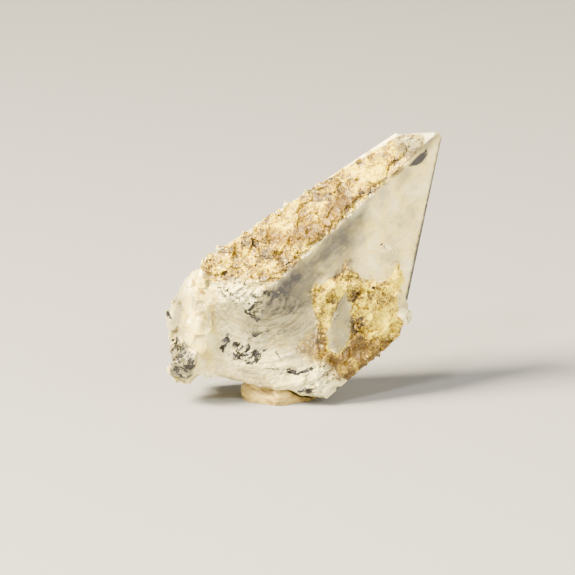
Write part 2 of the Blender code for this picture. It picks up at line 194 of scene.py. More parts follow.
def margin(outline: Outline, x: Array, z: Array) -> Array:
    """Measures how far inside an outline places lie.

    Args:
        outline: The outline's corners.
        x: How far right the places lie, in mm.
        z: How far up they lie, in mm.

    Returns:
        The distances to the outline in mm, below zero outside it.
    """
    nearest = np.full(len(x), FAR)
    inside = np.zeros(len(x), bool)
    for start, end in zip(outline, tuple(outline[1:]) + tuple(outline[:1])):
        nearest = np.minimum(nearest, edge_distance(x, z, start, end))
        if start[1] != end[1]:
            crossing = start[0] + (end[0] - start[0]) * (z - start[1]) / (end[1] - start[1])
            inside ^= ((start[1] > z) != (end[1] > z)) & (x < crossing)
    return np.where(inside, nearest, -nearest)


def from_path(path: Outline, x: Array, z: Array) -> Array:
    """Returns how far places x right and z up, in mm, lie from a line of joined points."""
    pieces = zip(path[:-1], path[1:])
    return np.min([edge_distance(x, z, start, end) for start, end in pieces], axis=0)


def noise_field(places: Array, size: float, seed: int, octaves: int = 3) -> Array:
    """Returns fractal noise, about -1 to 1, over places in mm, in lumps of a given size in mm."""
    spots = places / size + np.array((seed * 7.31, seed * 3.77, seed * 5.13))
    return np.array([noise.fractal(Vector(spot), 1.0, 2.0, octaves) for spot in spots.tolist()])


def facet_field(places: Array, size: float, seed: int) -> Array:
    """Works out a relief of tilted facets with steps between them.

    Args:
        places: The places in mm, one row each.
        size: The width of a facet in mm.
        seed: Chooses one of many patterns.

    Returns:
        Heights in mm for facets that tilt by 45 degrees, to be scaled down by the caller.
    """
    spots = places / size + np.array((seed * 5.3, seed * 2.9, seed * 8.7))
    cells = np.array([noise.voronoi(Vector(spot))[1][0][:] for spot in spots.tolist()])
    turns = np.abs(np.sin(cells @ np.array(TURN_HASH))) * HASH_SPREAD
    turns = (turns - np.floor(turns)) * math.tau
    rise = np.abs(np.sin(cells @ np.array(RISE_HASH))) * 2.0 - 1.0
    flat = np.sqrt(1.0 - rise * rise)
    tilt = np.stack((flat * np.cos(turns), flat * np.sin(turns), rise), axis=1)
    return ((spots - cells) * tilt).sum(axis=1) * size


@dataclass(frozen=True)
class Mark:
    """A soft mark on the front, as an outline, or as a stroke along a path.

    Attributes:
        places: The outline's or path's points, in mm right and up in the front view.
        strength: How strong the mark is, from 0 to 1.
        soft: The width of its faded edge in mm.
        width: For a stroke, its half width in mm; 0 for an outline.
    """

    places: Outline
    strength: float = 1.0
    soft: float = 0.8
    width: float = 0.0

    def mask(self, x: Array, z: Array) -> Array:
        """Returns how strongly the mark covers each place."""
        inside = self.width - from_path(self.places, x, z) if self.width else margin(self.places, x, z)
        return self.strength * smooth(inside, -self.soft / 2, self.soft / 2)


def covered(marks: Sequence[Mark], x: Array, z: Array) -> Array:
    """Returns the strongest of several marks at each place."""
    return np.max([mark.mask(x, z) for mark in marks], axis=0)


CRISP_CLEAR_MARKS = (
    Mark(((18.4, 18.7), (20, 20.5), (21.9, 22.1), (22, 20.9), (21.1, 19.6), (20, 18.9)), 1, 0.3),
    Mark(((16.6, 18.4), (19.4, 18.9), (18.9, 16.6), (16.6, 15.1)), 0.32, 2.4),
    Mark(((16.2, 23.8), (23.8, 24.1), (22.3, 22.1), (18.7, 19.8), (16.6, 20.9)), 0.55, 1.6),
    Mark(((24.7, 23.6), (21.8, 10.3), (18.7, -4.7)), 0.95, 0.35, 0.45),
    Mark(((5.2, -4.5), (7.7, -3.8), (8.6, -8.3), (8.5, -13.1), (6.8, -14.6), (5, -13.1)), 0.48, 1.6),
)
CLEAR_MARKS = (
    Mark(((4.3, 5.8), (8.6, 4.7), (8.3, 2), (4, 0), (1.1, 1.8)), 0.50, 2.2),
    Mark(((1.1, 1.6), (3.8, 0), (2, -2.9), (1.6, -5.6), (-0.2, -8.1), (-3.6, -8.3), (-6.8, -7.6),
          (-4, -3.2)), 0.72, 1.6),
    Mark(((-7.6, -6.1), (-0.7, -3.6), (3.2, -5), (2.5, -10.4), (-0.7, -13.1), (-5.8, -13.3),
          (-11.5, -11.2), (-10.4, -7.9)), 0.50, 5),
    Mark(((-16, -17.6), (-7.6, -18), (-0.7, -20.5), (-2.5, -23.8), (-11.5, -23), (-17.8, -20.3)), 0.30, 3),
    Mark(((-9.7, -10.4), (-0.7, -12.2), (1.4, -14.4), (-2.5, -16.9), (-9.7, -17.3), (-14.8, -14.4),
          (-14, -10.8)), 0.22, 5),
    Mark(((11.2, 12.4), (6.7, 8.8), (2.5, 4.7), (-0.5, 1.8), (-3.6, -0.9), (-5.8, -2.9), (-7.4, -5.4),
          (-8.1, -7.4), (-5.4, -7.2), (-1.4, -5.2), (0.9, -3.2), (2, -0.2), (4.7, 1.8), (8.3, 3.2),
          (9.2, 6.5), (11.2, 9.5)), 0.78, 3.4),
    Mark(((-0.7, 1.8), (-3.6, -0.9), (-5.8, -2.9), (-7.6, -5.6), (-7.6, -7), (-5, -6.1), (-1.3, -3.6),
          (0.4, -0.4)), 1, 3),
    Mark(((-17.5, 1.1), (-16.2, 0), (-16.4, -2.3), (-17.5, -2.9), (-18, -0.7)), 0.6, 1),
    Mark(((-23.8, -13), (-21.2, -12.6), (-19.4, -15.1), (-19.8, -18), (-21.6, -19.6), (-23.8, -18.4),
          (-24.3, -15.1)), 1, 1),
    Mark(((-24.3, -4.5), (-23, -3.1), (-21.6, -4.9), (-22.7, -6.5), (-24.1, -6.1)), 0.5, 1.4),
    Mark(((-24.1, -5), (-21.6, -2.2), (-21.1, -5), (-21.6, -11.2), (-23.8, -11.9)), 0.46, 2.6),
    Mark(((-15.1, -2.9), (-13, -5), (-12.2, -10.4), (-14, -12.2), (-15.8, -8.6)), 0.20, 2.6),
    Mark(((15.5, 23.4), (17.3, 25), (24.5, 25.4), (24.7, 24.5), (17.6, 23.8)), 0.5, 0.6),
)
DARK_MARKS = (
    Mark(((-14.9, -11.7), (-13.3, -11), (-13.1, -13), (-14.4, -14.6), (-15.3, -14)), 0.8, 0.8),
    Mark(((-12.6, -12.2), (-10.4, -12.6), (-7.6, -14.4), (-8.1, -16.6), (-10.4, -16.9), (-12.8, -15.5)),
          0.7, 1.4),
    Mark(((-9.9, -10.3), (-7.2, -10.8), (-7.4, -12.1), (-9.4, -11.9)), 0.4, 0.9),
    Mark(((-5, -14.4), (-4.3, -15.5)), 0.9, 0.3, 0.25),
    Mark(((-2.7, -17.8), (-0.9, -18.2), (1.3, -17.5)), 0.9, 0.5, 0.45),
    Mark(((-7.4, -17.3), (-5.6, -17.3)), 0.5, 0.5, 0.3),
    Mark(((-0.9, -21.2), (0, -20.9), (0.9, -21.4)), 1, 0.4, 0.5),
    Mark(((-8.6, -5.6), (-10.1, -7.2)), 1, 0.5, 0.4),
    Mark(((-10.4, -7), (-9.2, -7.6), (-8.3, -8.5)), 0.9, 0.6, 0.5),
    Mark(((-14.6, -3.6), (-14.2, -4.3)), 0.9, 0.5, 0.4),
    Mark(((-7, -3.6), (-6.3, -4)), 1, 0.4, 0.4),
    Mark(((-23.6, -12.8), (-21.6, -13.5)), 0.9, 0.7, 0.5),
    Mark(((-23, -16.2), (-20.5, -15.5), (-20, -16.9)), 0.9, 0.8, 0.6),
    Mark(((-23.9, -17.8), (-22, -18.5)), 0.8, 0.8, 0.4),
    Mark(((-23.8, -14), (-21.2, -13.3), (-19.6, -16.2), (-20.5, -18.7), (-23.4, -18.7)), 0.62, 1),
    Mark(((-24.5, -12.2), (-23, -11.9), (-22.3, -13.1)), 0.7, 0.5, 0.4),
    Mark(((-24.8, -7), (-24.1, -8.1)), 0.8, 0.6, 0.5),
    Mark(((5.9, -21.1), (6.7, -20.7)), 0.7, 0.5, 0.4),
    Mark(((18.2, 23.4), (19.3, 23.8), (20.3, 23.6)), 0.8, 0.25, 0.15),
    Mark(((18.7, 22.3), (19.8, 22)), 0.6, 0.25, 0.12),
    Mark(((13.9, 4.9), (14.4, 4.5)), 0.8, 0.3, 0.2),
    Mark(((-11, -10.6), (-8.6, -11.5), (-6.5, -10.4)), 0.5, 0.6, 0.4),
    Mark(((-7.6, -13.7), (-5.8, -14.9), (-3.6, -15.8)), 0.35, 0.7, 0.5),
)
STAIN_MARKS = (
    Mark(((-16.6, -17.3), (-7.6, -18), (-1.4, -21.6), (-3.2, -23.4), (-11.5, -22.3), (-17.3, -20.2)), 0.40,
          3),
    Mark(((17.3, 18.4), (13.3, 15.3), (9.4, 13.1), (6.1, 12.1), (3.6, 11.3)), 0.85, 1.3, 0.55),
    Mark(((6.1, 11.9), (4.7, 9.9), (2.2, 7.7), (-0.7, 6.1), (-3.6, 5.8), (-6.1, 6.5)), 0.85, 3, 2),
    Mark(((-8.6, 7.2), (-11.2, 4.3), (-12.6, 1.8)), 0.55, 2.4, 1.2),
    Mark(((8.5, 1.4), (9, -0.5), (10.4, -1.4), (12.6, -2), (14.8, -1.1), (16, 1.4)), 0.52, 2.4, 0.8),
    Mark(((5.8, -0.5), (6.8, 0.7), (8.3, 1.8)), 0.72, 2.2, 0.8),
    Mark(((15.5, -0.4), (16.6, 1.8)), 0.66, 1.8, 0.5),
    Mark(((9.4, -2.2), (9, -5), (8.8, -7.6), (8.5, -10.1)), 0.62, 2, 0.7),
    Mark(((9.4, -2.3), (11.2, -5), (10.4, -9.5), (9.4, -10.8)), 0.36, 2.8, 1.6),
    Mark(((-0.4, -13.5), (1.1, -13.1), (2.2, -14.2)), 0.75, 1.6, 0.5),
    Mark(((5.4, -18), (6.8, -15.5), (9.4, -14), (11.5, -14.4), (9.4, -16.9), (6.5, -19.4)), 0.75, 3),
    Mark(((-0.7, -12.8), (1.8, -11.9), (3.2, -13.3), (2.5, -14.8), (0, -14.6)), 0.7, 2.4),
    Mark(((8.6, -2.2), (12.2, -2.9), (11.9, -9), (9.7, -11.5), (8.8, -7.2)), 0.32, 2.8),
    Mark(((-2.2, -14), (-0.2, -11.3), (2.3, -9.5), (3.2, -14), (5.8, -19.1), (3.6, -18.4), (0.7, -15.8)),
          0.78, 3),
    Mark(((-18.5, -3.2), (-18, -3.8)), 0.8, 0.7, 0.5),
    Mark(((-16, -4.3), (-16.4, -7.2), (-16.2, -10.4)), 0.54, 2.2, 0.9),
    Mark(((-18, -2.2), (-18.4, -5), (-18, -12.2), (-17.3, -16.9)), 0.45, 3.4, 1.6),
)
GLINT_MARKS = (
    Mark(((-14.9, -2), (-12.2, -1.3), (-7.6, -2), (-6.7, -4.3), (-7.6, -7.4), (-9.7, -8.3), (-11.9, -6.5),
          (-14, -5)), 0.9, 1.4),
    Mark(((-15.5, -11), (-13, -10.6), (-7.6, -11.9), (-6.8, -14.4), (-8.3, -16.9), (-12.2, -16.6),
          (-15.1, -14.8)), 0.6, 2),
    Mark(((-10.4, -9.7), (-6.5, -9.5), (-3.6, -10.4), (-4.3, -12.4), (-8.6, -12.2)), 0.4, 1.6),
    Mark(((-0.9, -17.6), (3.2, -16.2), (5.8, -18.4), (6.5, -20.9), (3.2, -22.7), (-0.2, -22.1)), 0.8, 2),
    Mark(((-23.9, -12.8), (-21.2, -12.2), (-19.3, -14.9), (-19.6, -18), (-21.6, -19.8), (-23.9, -18.7),
          (-24.5, -15.1)), 0.55, 1),
    Mark(((-24.8, -5), (-23.8, -3.2), (-23, -5.4), (-23.8, -9), (-24.8, -7.9)), 0.6, 1),
    Mark(((-7.6, -17.1), (-2.9, -17.8), (1.4, -18.2)), 0.5, 1.4, 0.9),
)
PROUD_MARKS = (
    Mark(((-14.8, -2.2), (-12.2, -1.3), (-7.4, -1.8), (-6.3, -3.4), (-7.4, -5), (-8.6, -5.9), (-9.9, -7.2),
          (-10.8, -5.9), (-13, -5.2), (-14.4, -3.6)), 1, 0.5),
    Mark(((-10.3, -10.4), (-6.8, -10.1), (-3.6, -10.8), (-5, -12.1), (-8.6, -11.9)), 0.5, 0.7),
)
CREAM_MARKS = (
    Mark(((9.4, 8.6), (12.2, 10.4), (15.1, 6.5), (15.7, 4), (12.6, 2.5), (9.4, 4.7)), 0.32, 3),
    Mark(((7.4, 16), (10.4, 19.1), (14.4, 19.4), (15.3, 17.6), (12.2, 14.4), (8.6, 13.7)), 0.9, 1.6),
    Mark(((11, 11), (12.4, 10.6), (13.9, 9.5)), 0.6, 1, 0.4),
    Mark(((11.2, 4.9), (12.6, 4), (14.4, 3.8)), 0.55, 1.6, 0.6),
    Mark(((14.8, 4.7), (15.5, 4)), 0.7, 0.8, 0.4),
    Mark(((-14.8, -2), (-9.7, -1.4), (-7.6, -4.3), (-8.6, -7.6), (-11.5, -6.1), (-14.4, -4.3)), 0.8, 1.6),
    Mark(((-0.4, -18), (3.8, -16.6), (5.8, -18.7), (4.7, -22), (0.4, -21.6)), 0.9, 1.6),
    Mark(((-6.5, -10.1), (-4, -9.7), (-3.6, -12.2), (-6.1, -12.6)), 0.5, 1.4),
    Mark(((-22.7, -5), (-22.1, -1.3), (-20.3, -0.9), (-20.2, -3.6)), 1, 0.6),
)


# ---------------- small mesh tools

def deselect() -> None:
    """Leaves nothing selected."""
    for obj in bpy.context.selected_objects:
        obj.select_set(False)


def make_active(obj: Object) -> None:
    """Selects one object alone and makes it the active one.

    Args:
        obj: The object.
    """
    deselect()
    obj.select_set(True)
    bpy.context.view_layer.objects.active = obj


def add_object(name: str, data: ID) -> Object:
    """Adds an object with a mesh, a light or a camera to the scene.

    Args:
        name: The object's name.
        data: What it holds.

    Returns:
        The object.
    """
    obj = bpy.data.objects.new(name, data)
    bpy.context.scene.collection.objects.link(obj)
    return obj


def copy_of_node(node: str, name: str) -> Object:
    """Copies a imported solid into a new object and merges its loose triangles.

    Args:
        node: The solid's name.
        name: The new object's name.

    Returns:
        The new object, whose mesh is one closed skin.
    """
    obj = add_object(name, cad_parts[node].data.copy())
    obj.data.materials.clear()
    make_active(obj)
    bpy.ops.object.mode_set(mode="EDIT")
    bpy.ops.mesh.select_all(action="SELECT")
    bpy.ops.mesh.remove_doubles(threshold=0.002 * MM)
    bpy.ops.mesh.normals_make_consistent(inside=False)
    bpy.ops.object.mode_set(mode="OBJECT")
    return obj


def remesh(obj: Object, voxel: float) -> None:
    """Gives an object an even skin of small squares.

    Args:
        obj: The object.
        voxel: The squares' width in mm.
    """
    make_active(obj)
    even = obj.modifiers.new("even_skin", "REMESH")
    even.mode = "VOXEL"
    even.voxel_size = voxel * MM
    even.use_smooth_shade = True
    bpy.ops.object.modifier_apply(modifier=even.name)


def read_rows(items: Sequence, name: str) -> Array:
    """Reads a vector of each of a mesh's items.

    Args:
        items: The items, such as a mesh's points.
        name: The vector's name.

    Returns:
        The vectors, one row each.
    """
    values = np.empty(len(items) * 3, np.float32)
    items.foreach_get(name, values)
    return values.reshape(-1, 3).astype(float)


def places_of(mesh: Mesh) -> Array:
    """Returns a mesh's points in metres, one row each."""
    return read_rows(mesh.vertices, "co")


def normals_of(mesh: Mesh) -> Array:
    """Returns a mesh's point normals, one row each."""
    return read_rows(mesh.vertex_normals, "vector")


def place_points(mesh: Mesh, places: Array) -> None:
    """Moves a mesh's points to new places in metres."""
    mesh.vertices.foreach_set("co", places.reshape(-1))
    mesh.update()


def write_mask(mesh: Mesh, name: str, values: Array) -> None:
    """Writes one number for each point of a mesh as an attribute that materials read."""
    mask = mesh.attributes.new(name, "FLOAT", "POINT")
    mask.data.foreach_set("value", np.clip(values, 0.0, 1.0).astype(np.float32))


# ---------------- finishes

def colour(code: str) -> tuple[float, float, float, float]:
    """Turns an sRGB hex colour into linear light, with full opacity."""
    parts = [int(code[i:i + 2], 16) / 255 for i in (1, 3, 5)]
    return (*(p / 12.92 if p <= 0.04045 else ((p + 0.055) / 1.055) ** 2.4 for p in parts), 1.0)


def add_node(tree: NodeTree, kind: str, inputs: dict | None = None,
             output: int | str = 0, **settings: object) -> NodeSocket | None:
    """Adds a node to a material, with its settings, values and links.

    Args:
        tree: The material's nodes.
        kind: The node's type after ShaderNode, such as TexNoise.
        inputs: Values by socket name or number; a socket given as a value is linked.
        output: The name or number of the output to go on from.
        settings: The node's own properties by name; "stops" gives a ramp's places and colours.

    Returns:
        That output, or None from the material's last node.
    """
    node = tree.nodes.new("ShaderNode" + kind)
    for name, value in settings.items():
        if name == "stops":
            ramp = node.color_ramp
            while len(ramp.elements) < len(value):
                ramp.elements.new(0.5)
            for stop, (place, code) in zip(ramp.elements, value):
                stop.position, stop.color = place, colour(code)
        else:
            setattr(node, name, value)
    for name, value in (inputs or {}).items():
        if isinstance(value, NodeSocket):
            tree.links.new(value, node.inputs[name])
        else:
            node.inputs[name].default_value = value
    return node.outputs[output] if node.outputs else None


def new_material(name: str) -> tuple[Material, AddNode]:
    """Starts a material without nodes.

    Args:
        name: The material's name.

    Returns:
        The material, and add_node set to add to it.
    """
    material = bpy.data.materials.new(name)
    material.use_nodes = True
    material.node_tree.nodes.clear()
    return material, partial(add_node, material.node_tree)


@dataclass(frozen=True)
class MilkyQuartz:
    """Milky quartz: satin where it grew flat, sugary where it broke, painted dark where it is clear.

    Fine water bubbles scatter the light in the milky parts, so they glow softly, pale and warm;
    the clear parts let the eye into the stone and look darker, which is painted shade in a dark tone;
    broken flakes and splinters are painted lit or shaded one by one; iron rust lies in the roughness.

    Attributes:
        grey: The duller milky tone; cream is the yellower one.
        haze: The tone of thin veils; frost is that of bright ones, and the painted highlight of lit flakes
            and splinters.
        smoky: The painted shade of seeing into clear stone, of shaded flakes, of dark splinters and of
            opened cracks; fissure is that within cracks.
        rust: The places and tones of the rust's ramp; ochre is the tone of the deepest rust.
        smoke: The tint that light takes on inside, and smoke_density how fast, per metre.
        clearness: How far the clearest parts let light through.
        glow: How much of the light scatters beneath the skin.
    """

    name: str = "milky_quartz"
    grey: str = "#E8DCA4"
    haze: str = "#9C9A8A"
    cream: str = "#FDE874"
    frost: str = "#FDF7BE"
    smoky: str = "#3A3B42"
    ochre: str = "#785A0B"
    fissure: str = "#171512"
    rust: tuple[tuple[float, str], ...] = (
        (0.0, "#FBE726"), (0.28, "#CEB21A"), (0.52, "#8D7510"), (0.76, "#624B0E"), (0.97, "#2E220C"),
    )
    smoke: str = "#B0ADA8"
    smoke_density: float = 40.0
    clearness: float = 0.55
    glow: float = 0.08

    def patterns(self, add: AddNode) -> Sockets:
        """Adds the mesh's masks and the patterns of the stone.

        Args:
            add: Adds a node.

        Returns:
            The masks and patterns by name.
        """
        at = {name: add("Attribute", None, "Fac", attribute_name=name) for name in (
            "clear", "stain", "crust", "broken", "cream", "fissure", "hollow", "glint")}
        here = add("TexCoord", None, "Object")
        upright = add("Mapping", {
            "Vector": here, "Rotation": Matrix(AXES.rows().tolist()).to_euler()})
        drawn_out = add("Mapping", {"Vector": upright, "Scale": (1.0, 1.0, 0.35)})
        for name, frame_of, size, detail, rough in (  # sizes are the widths of lumps in mm
            ("veils", here, 5.0, 6.0, 0.6),  # veils of bubbles, some 5 mm across
            ("wisps", here, 1.6, 5.0, 0.7),
            ("mottle", here, 1.3, 2.0, 0.5),
            ("speckle", here, 0.8, 5.0, 0.75),
            ("sugar", here, 0.42, 4.0, 0.7),  # broken grain, under half a millimetre
            ("dust", here, 0.34, 3.0, 0.6),
            ("specks", here, 0.34, 2.0, 0.5),
            ("bands", drawn_out, 2.4, 3.0, 0.55),
            ("streaks", drawn_out, 0.8, 6.0, 0.7),
        ):
            at[name] = add("TexNoise", {
                "Vector": frame_of, "Scale": 1 / (size * MM), "Detail": detail, "Roughness": rough}, "Fac")
        ruffle = add("TexNoise", {
            "Vector": here, "Scale": 1 / (0.9 * MM), "Detail": 3.0, "Roughness": 0.6}, "Color")
        ruffled = add("VectorMath", {0: ruffle, 1: (0.9 * MM,) * 3, 2: here}, operation="MULTIPLY_ADD")
        near, to_edge = {"feature": "F1"}, {"feature": "DISTANCE_TO_EDGE"}
        for name, frame_of, size, detail, rough, output, settings in (  # sizes are those of cells
            ("flakes", drawn_out, 0.55, 1.0, 0.7, "Color", near),
            ("splinters", drawn_out, 0.62, 0.6, 0.6, "Color", near | {"distance": "MANHATTAN"}),
            ("bubbles", here, 2.1, 0.0, 0.5, "Distance", near),
            ("motes", here, 0.85, 0.0, 0.5, "Distance", near),
            ("plates", ruffled, 3.2, 0.0, 0.5, "Color", near),
            ("scales", ruffled, 1.1, 0.0, 0.5, "Color", near),
            ("seams", ruffled, 1.5, 0.0, 0.5, "Distance", to_edge),
            ("rims", ruffled, 0.9, 0.0, 0.5, "Distance", to_edge),
        ):
            at[name] = add("TexVoronoi", {
                "Vector": frame_of, "Scale": 1 / (size * MM), "Detail": detail, "Roughness": rough,
            }, output, **settings)
        for name, source, part in (
            ("flake_tone", "flakes", 0), ("splinter_tone", "splinters", 1),
            ("plate_tone", "plates", 0), ("scale_tone", "scales", 2),
        ):
            at[name] = add("SeparateColor", {0: at[source]}, part)
        return at

    def share(self, add: AddNode, at: Sockets, *parts: Part) -> NodeSocket:
        """Multiplies masks and patterns with one another.

        Args:
            add: Adds a node.
            at: The masks and patterns by name.
            parts: The name of each, alone or with the low and high that are spread softly over
                another range, which is 0 to 1 unless its ends follow.

        Returns:
            The product, held between 0 and 1 if there is more than one part.
        """
        total = None
        for part in parts:
            value = at[part] if isinstance(part, str) else add(
                "MapRange", dict(enumerate((at[part[0]], *part[1:]))), **SOFT_STEP)
            total = value if total is None else add(
                "Math", {0: total, 1: value}, operation="MULTIPLY", **HELD)
        return total

    def rust_tone(self, add: AddNode, at: Sockets) -> NodeSocket:
        """Adds the rust's tone: older in hollows, and in its own tone on each plate and scale, partly
        painted light and shade of lit and shaded flakes, and paler along the scales' edges, partly
        painted highlights there.

        Args:
            add: Adds a node.
            at: The masks and patterns by name.

        Returns:
            The tone.
        """
        share = partial(self.share, add, at)
        age = add("Math", {0: at["stain"], 1: 0.66, 2: -0.63}, operation="MULTIPLY_ADD")
        # Plate and scale tones are partly painted light and shade of flakes; the scales' paler edges are
        # partly painted highlights.
        for part, weight in (
            ("hollow", 0.32), ("plate_tone", 0.54), ("scale_tone", 0.34), ("mottle", 0.60),
            (("seams", 0.09, 0.0), 0.20), (("rims", 0.11, 0.03), -0.36), (("specks", 0.69, 0.72), 0.42),
        ):
            age = add("Math", {0: share(part), 1: weight, 2: age}, operation="MULTIPLY_ADD")
        tone = add("ValToRGB", {"Fac": age}, "Color", stops=self.rust)
        deepest = share(("stain", 0.45, 0.95, 0.0, 0.6))
        return add("Mix", {0: deepest, 6: tone, 7: colour(self.ochre)}, RESULT, **RGBA)

    def tone(self, add: AddNode, at: Sockets) -> NodeSocket:
        """Lays the stone's tones over one another.

        Args:
            add: Adds a node.
            at: The masks and patterns by name, to which the shares worked out here are added.

        Returns:
            The tone of the skin.
        """
        share = partial(self.share, add, at)
        paleness = at["cream"]
        for part in (("veils", 0.35, 0.65, -0.30, 0.30), ("wisps", 0.35, 0.65, -0.40, 0.40)):
            paleness = add("Math", {0: paleness, 1: share(part)}, operation="ADD", **HELD)
        for name, first, weight, second in (
            ("crust_reach", "wisps", 2.2, "crust"), ("stain_reach", "speckle", 0.9, "stain"),
        ):
            at[name] = add("Math", {0: at[first], 1: weight, 2: at[second]}, operation="MULTIPLY_ADD")
        crusted = share(("crust_reach", 1.36, 1.62), ("crust", 0.02, 0.2))
        at["rusted"] = add("Math", {
            0: crusted, 1: share(("stain_reach", 0.62, 1.25, 0.0, 0.9)),
        }, operation="MAXIMUM", **HELD)
        at["clearest"] = share(
            "clear", ("streaks", 0.25, 0.6, 0.78, 1.12), ("motes", 0.10, 0.17, 0.45, 1.0))
        less = add("Math", {0: at["splinter_tone"], 1: -1.0}, operation="MULTIPLY")
        for name, weight in (("opened", 1.1), ("deepened", 0.74)):
            at[name] = add("Math", {0: at["fissure"], 1: weight, 2: less}, operation="MULTIPLY_ADD")
        shade = add("Mix", {0: paleness, 6: colour(self.grey), 7: colour(self.cream)}, RESULT, **RGBA)
        for over, *parts in (  # each tone that is laid over the others, and the parts of its share
            (self.haze, ("veils", 0.47, 0.66, 0.0, 0.75)),
            (self.haze, ("bands", 0.50, 0.68, 0.0, 0.45)),
            (self.frost, ("veils", 0.48, 0.34, 0.0, 0.75)),
            (self.frost, ("wisps", 0.55, 0.70, 0.0, 0.45)),
            (self.frost, ("cream", 0.84, 1.0, 0.0, 0.85)),
            # Each broken flake is painted shaded or lit by its own random value: painted shade in the dark
            # tone, painted highlight in the pale one.
            (self.smoky, "broken", ("flake_tone", 0.45, 0.10, 0.0, 0.40)),
            (self.frost, "broken", ("flake_tone", 0.50, 0.85, 0.0, 0.7), ("cream", 0.6, 0.95, 1.0, 0.35)),
            (self.frost, ("bubbles", 0.10, 0.05, 0.0, 0.8)),
            (self.rust_tone(add, at), "rusted"),
            # Clear stone is painted dark: painted shade for the depth seen into it.
            (self.smoky, "clearest"),
            # Glinting splinters are painted lit or dark one by one: painted highlights in the pale tone,
            # painted shade in the dark one.
            (self.frost, "glint", ("splinter_tone", 0.45, 0.60)),
            (self.smoky, "glint", ("splinter_tone", 0.46, 0.26)),
            (self.smoky, ("opened", 0.0, 0.05)),
            (self.fissure, ("deepened", 0.0, 0.05)),
            (self.frost, ("fissure", 0.15, 0.5), ("speckle", 0.58, 0.66)),
        ):
            shade = add("Mix", {
                0: share(*parts), 6: shade, 7: colour(over) if isinstance(over, str) else over,
            }, RESULT, **RGBA)
        dusty = share(("dust", 0.3, 0.7, 0.84, 1.0))
        return add("Mix", {0: 1.0, 6: shade, 7: dusty}, RESULT, blend_type="MULTIPLY", **RGBA)

    def facing(self, add: AddNode, at: Sockets) -> NodeSocket:
        """Turns each flake and scale of the broken stone its own way, for its sparkle.

        Args:
            add: Adds a node.
            at: The masks and patterns by name.

        Returns:
            The normals of the skin.
        """
        share = partial(self.share, add, at)
        at["sparkling"] = add("Math", {0: at["broken"], 1: at["glint"]}, operation="ADD", **HELD)
        twist = add("Mix", {0: at["crust"], 6: at["flakes"], 7: at["scales"]}, RESULT, **RGBA)
        twist = add("VectorMath", {0: twist, 1: (0.5, 0.5, 0.5)}, operation="SUBTRACT")
        twist = add("VectorMath", {
            0: twist, "Scale": share("sparkling", ("crust", 0.0, 1.0, 0.9, 0.45)),
        }, operation="SCALE")
        turned = add("VectorMath", {0: add("NewGeometry", None, "Normal"), 1: twist}, operation="ADD")
        turned = add("VectorMath", {0: turned}, operation="NORMALIZE")
        strength = share(("broken", 0.0, 1.0, 0.05, 0.55), ("crust", 0.0, 1.0, 1.0, 0.5))
        return add("Bump", {
            "Strength": strength, "Distance": 0.10 * MM, "Height": at["sugar"], "Normal": turned}, "Normal")

    def build(self) -> Material:
        """Joins the skin to the faintly tinted inside.

        Returns:
            The material.
        """
        material, add = new_material(self.name)
        at = self.patterns(add)
        shade = self.tone(add, at)
        share = partial(self.share, add, at)
        roughness = share(("broken", 0.0, 1.0, 0.24, 0.40))
        for name, weight in (("clearest", 0.2), ("crust", 0.12)):
            more = add("Math", {0: at[name], 1: weight}, operation="MULTIPLY", **HELD)
            roughness = add("Math", {0: roughness, 1: more}, operation="ADD", **HELD)
        see_through = add("Math", {0: at["clearest"], 1: self.clearness}, operation="MULTIPLY", **HELD)
        skin = add("BsdfPrincipled", {
            "Base Color": shade, "Roughness": roughness, "IOR": QUARTZ_IOR,
            "Transmission Weight": see_through, "Normal": self.facing(add, at),
            "Subsurface Weight": self.glow, "Subsurface Radius": (1.0, 0.9, 0.7),
            "Subsurface Scale": 0.5 * MM,
        }, "BSDF", subsurface_method="RANDOM_WALK")
        inside = add("VolumeAbsorption", {
            "Color": colour(self.smoke), "Density": self.smoke_density}, "Volume")
        add("OutputMaterial", {"Surface": skin, "Volume": inside})
        return material


@dataclass(frozen=True)
class SugaryQuartz:
    """A crust of small quartz crystals: each is glassy and pale, with rust in the gaps between.

    The many small flat faces give it a sugary sparkle, and no two crystals have the same tint.

    Attributes:
        tones: The places and tones of its ramp, from pale through honey to rust.
    """

    name: str = "sugary_quartz"
    tones: tuple[tuple[float, str], ...] = ((0.15, "#F6E48C"), (0.5, "#D4BC58"), (0.9, "#94782A"))
    roughness: float = 0.30

    def build(self) -> Material:
        """Joins the crystals' stain, tint and dust.

        Returns:
            The material.
        """
        material, add = new_material(self.name)
        here = add("TexCoord", None, "Object")
        dust = add("TexNoise", {
            "Vector": here, "Scale": 1 / (0.4 * MM), "Detail": 4.0, "Roughness": 0.7}, "Fac")
        total = add("MapRange", {0: dust, 1: 0.3, 2: 0.7, 3: -0.2, 4: 0.2})
        for name in ("stain", "tint"):
            own = add("Attribute", None, "Fac", attribute_name=name)
            total = add("Math", {0: own, 1: total}, operation="ADD")
        skin = add("BsdfPrincipled", {
            "Base Color": add("ValToRGB", {"Fac": total}, "Color", stops=self.tones),
            "Roughness": self.roughness, "IOR": QUARTZ_IOR}, "BSDF")
        add("OutputMaterial", {"Surface": skin})
        return material


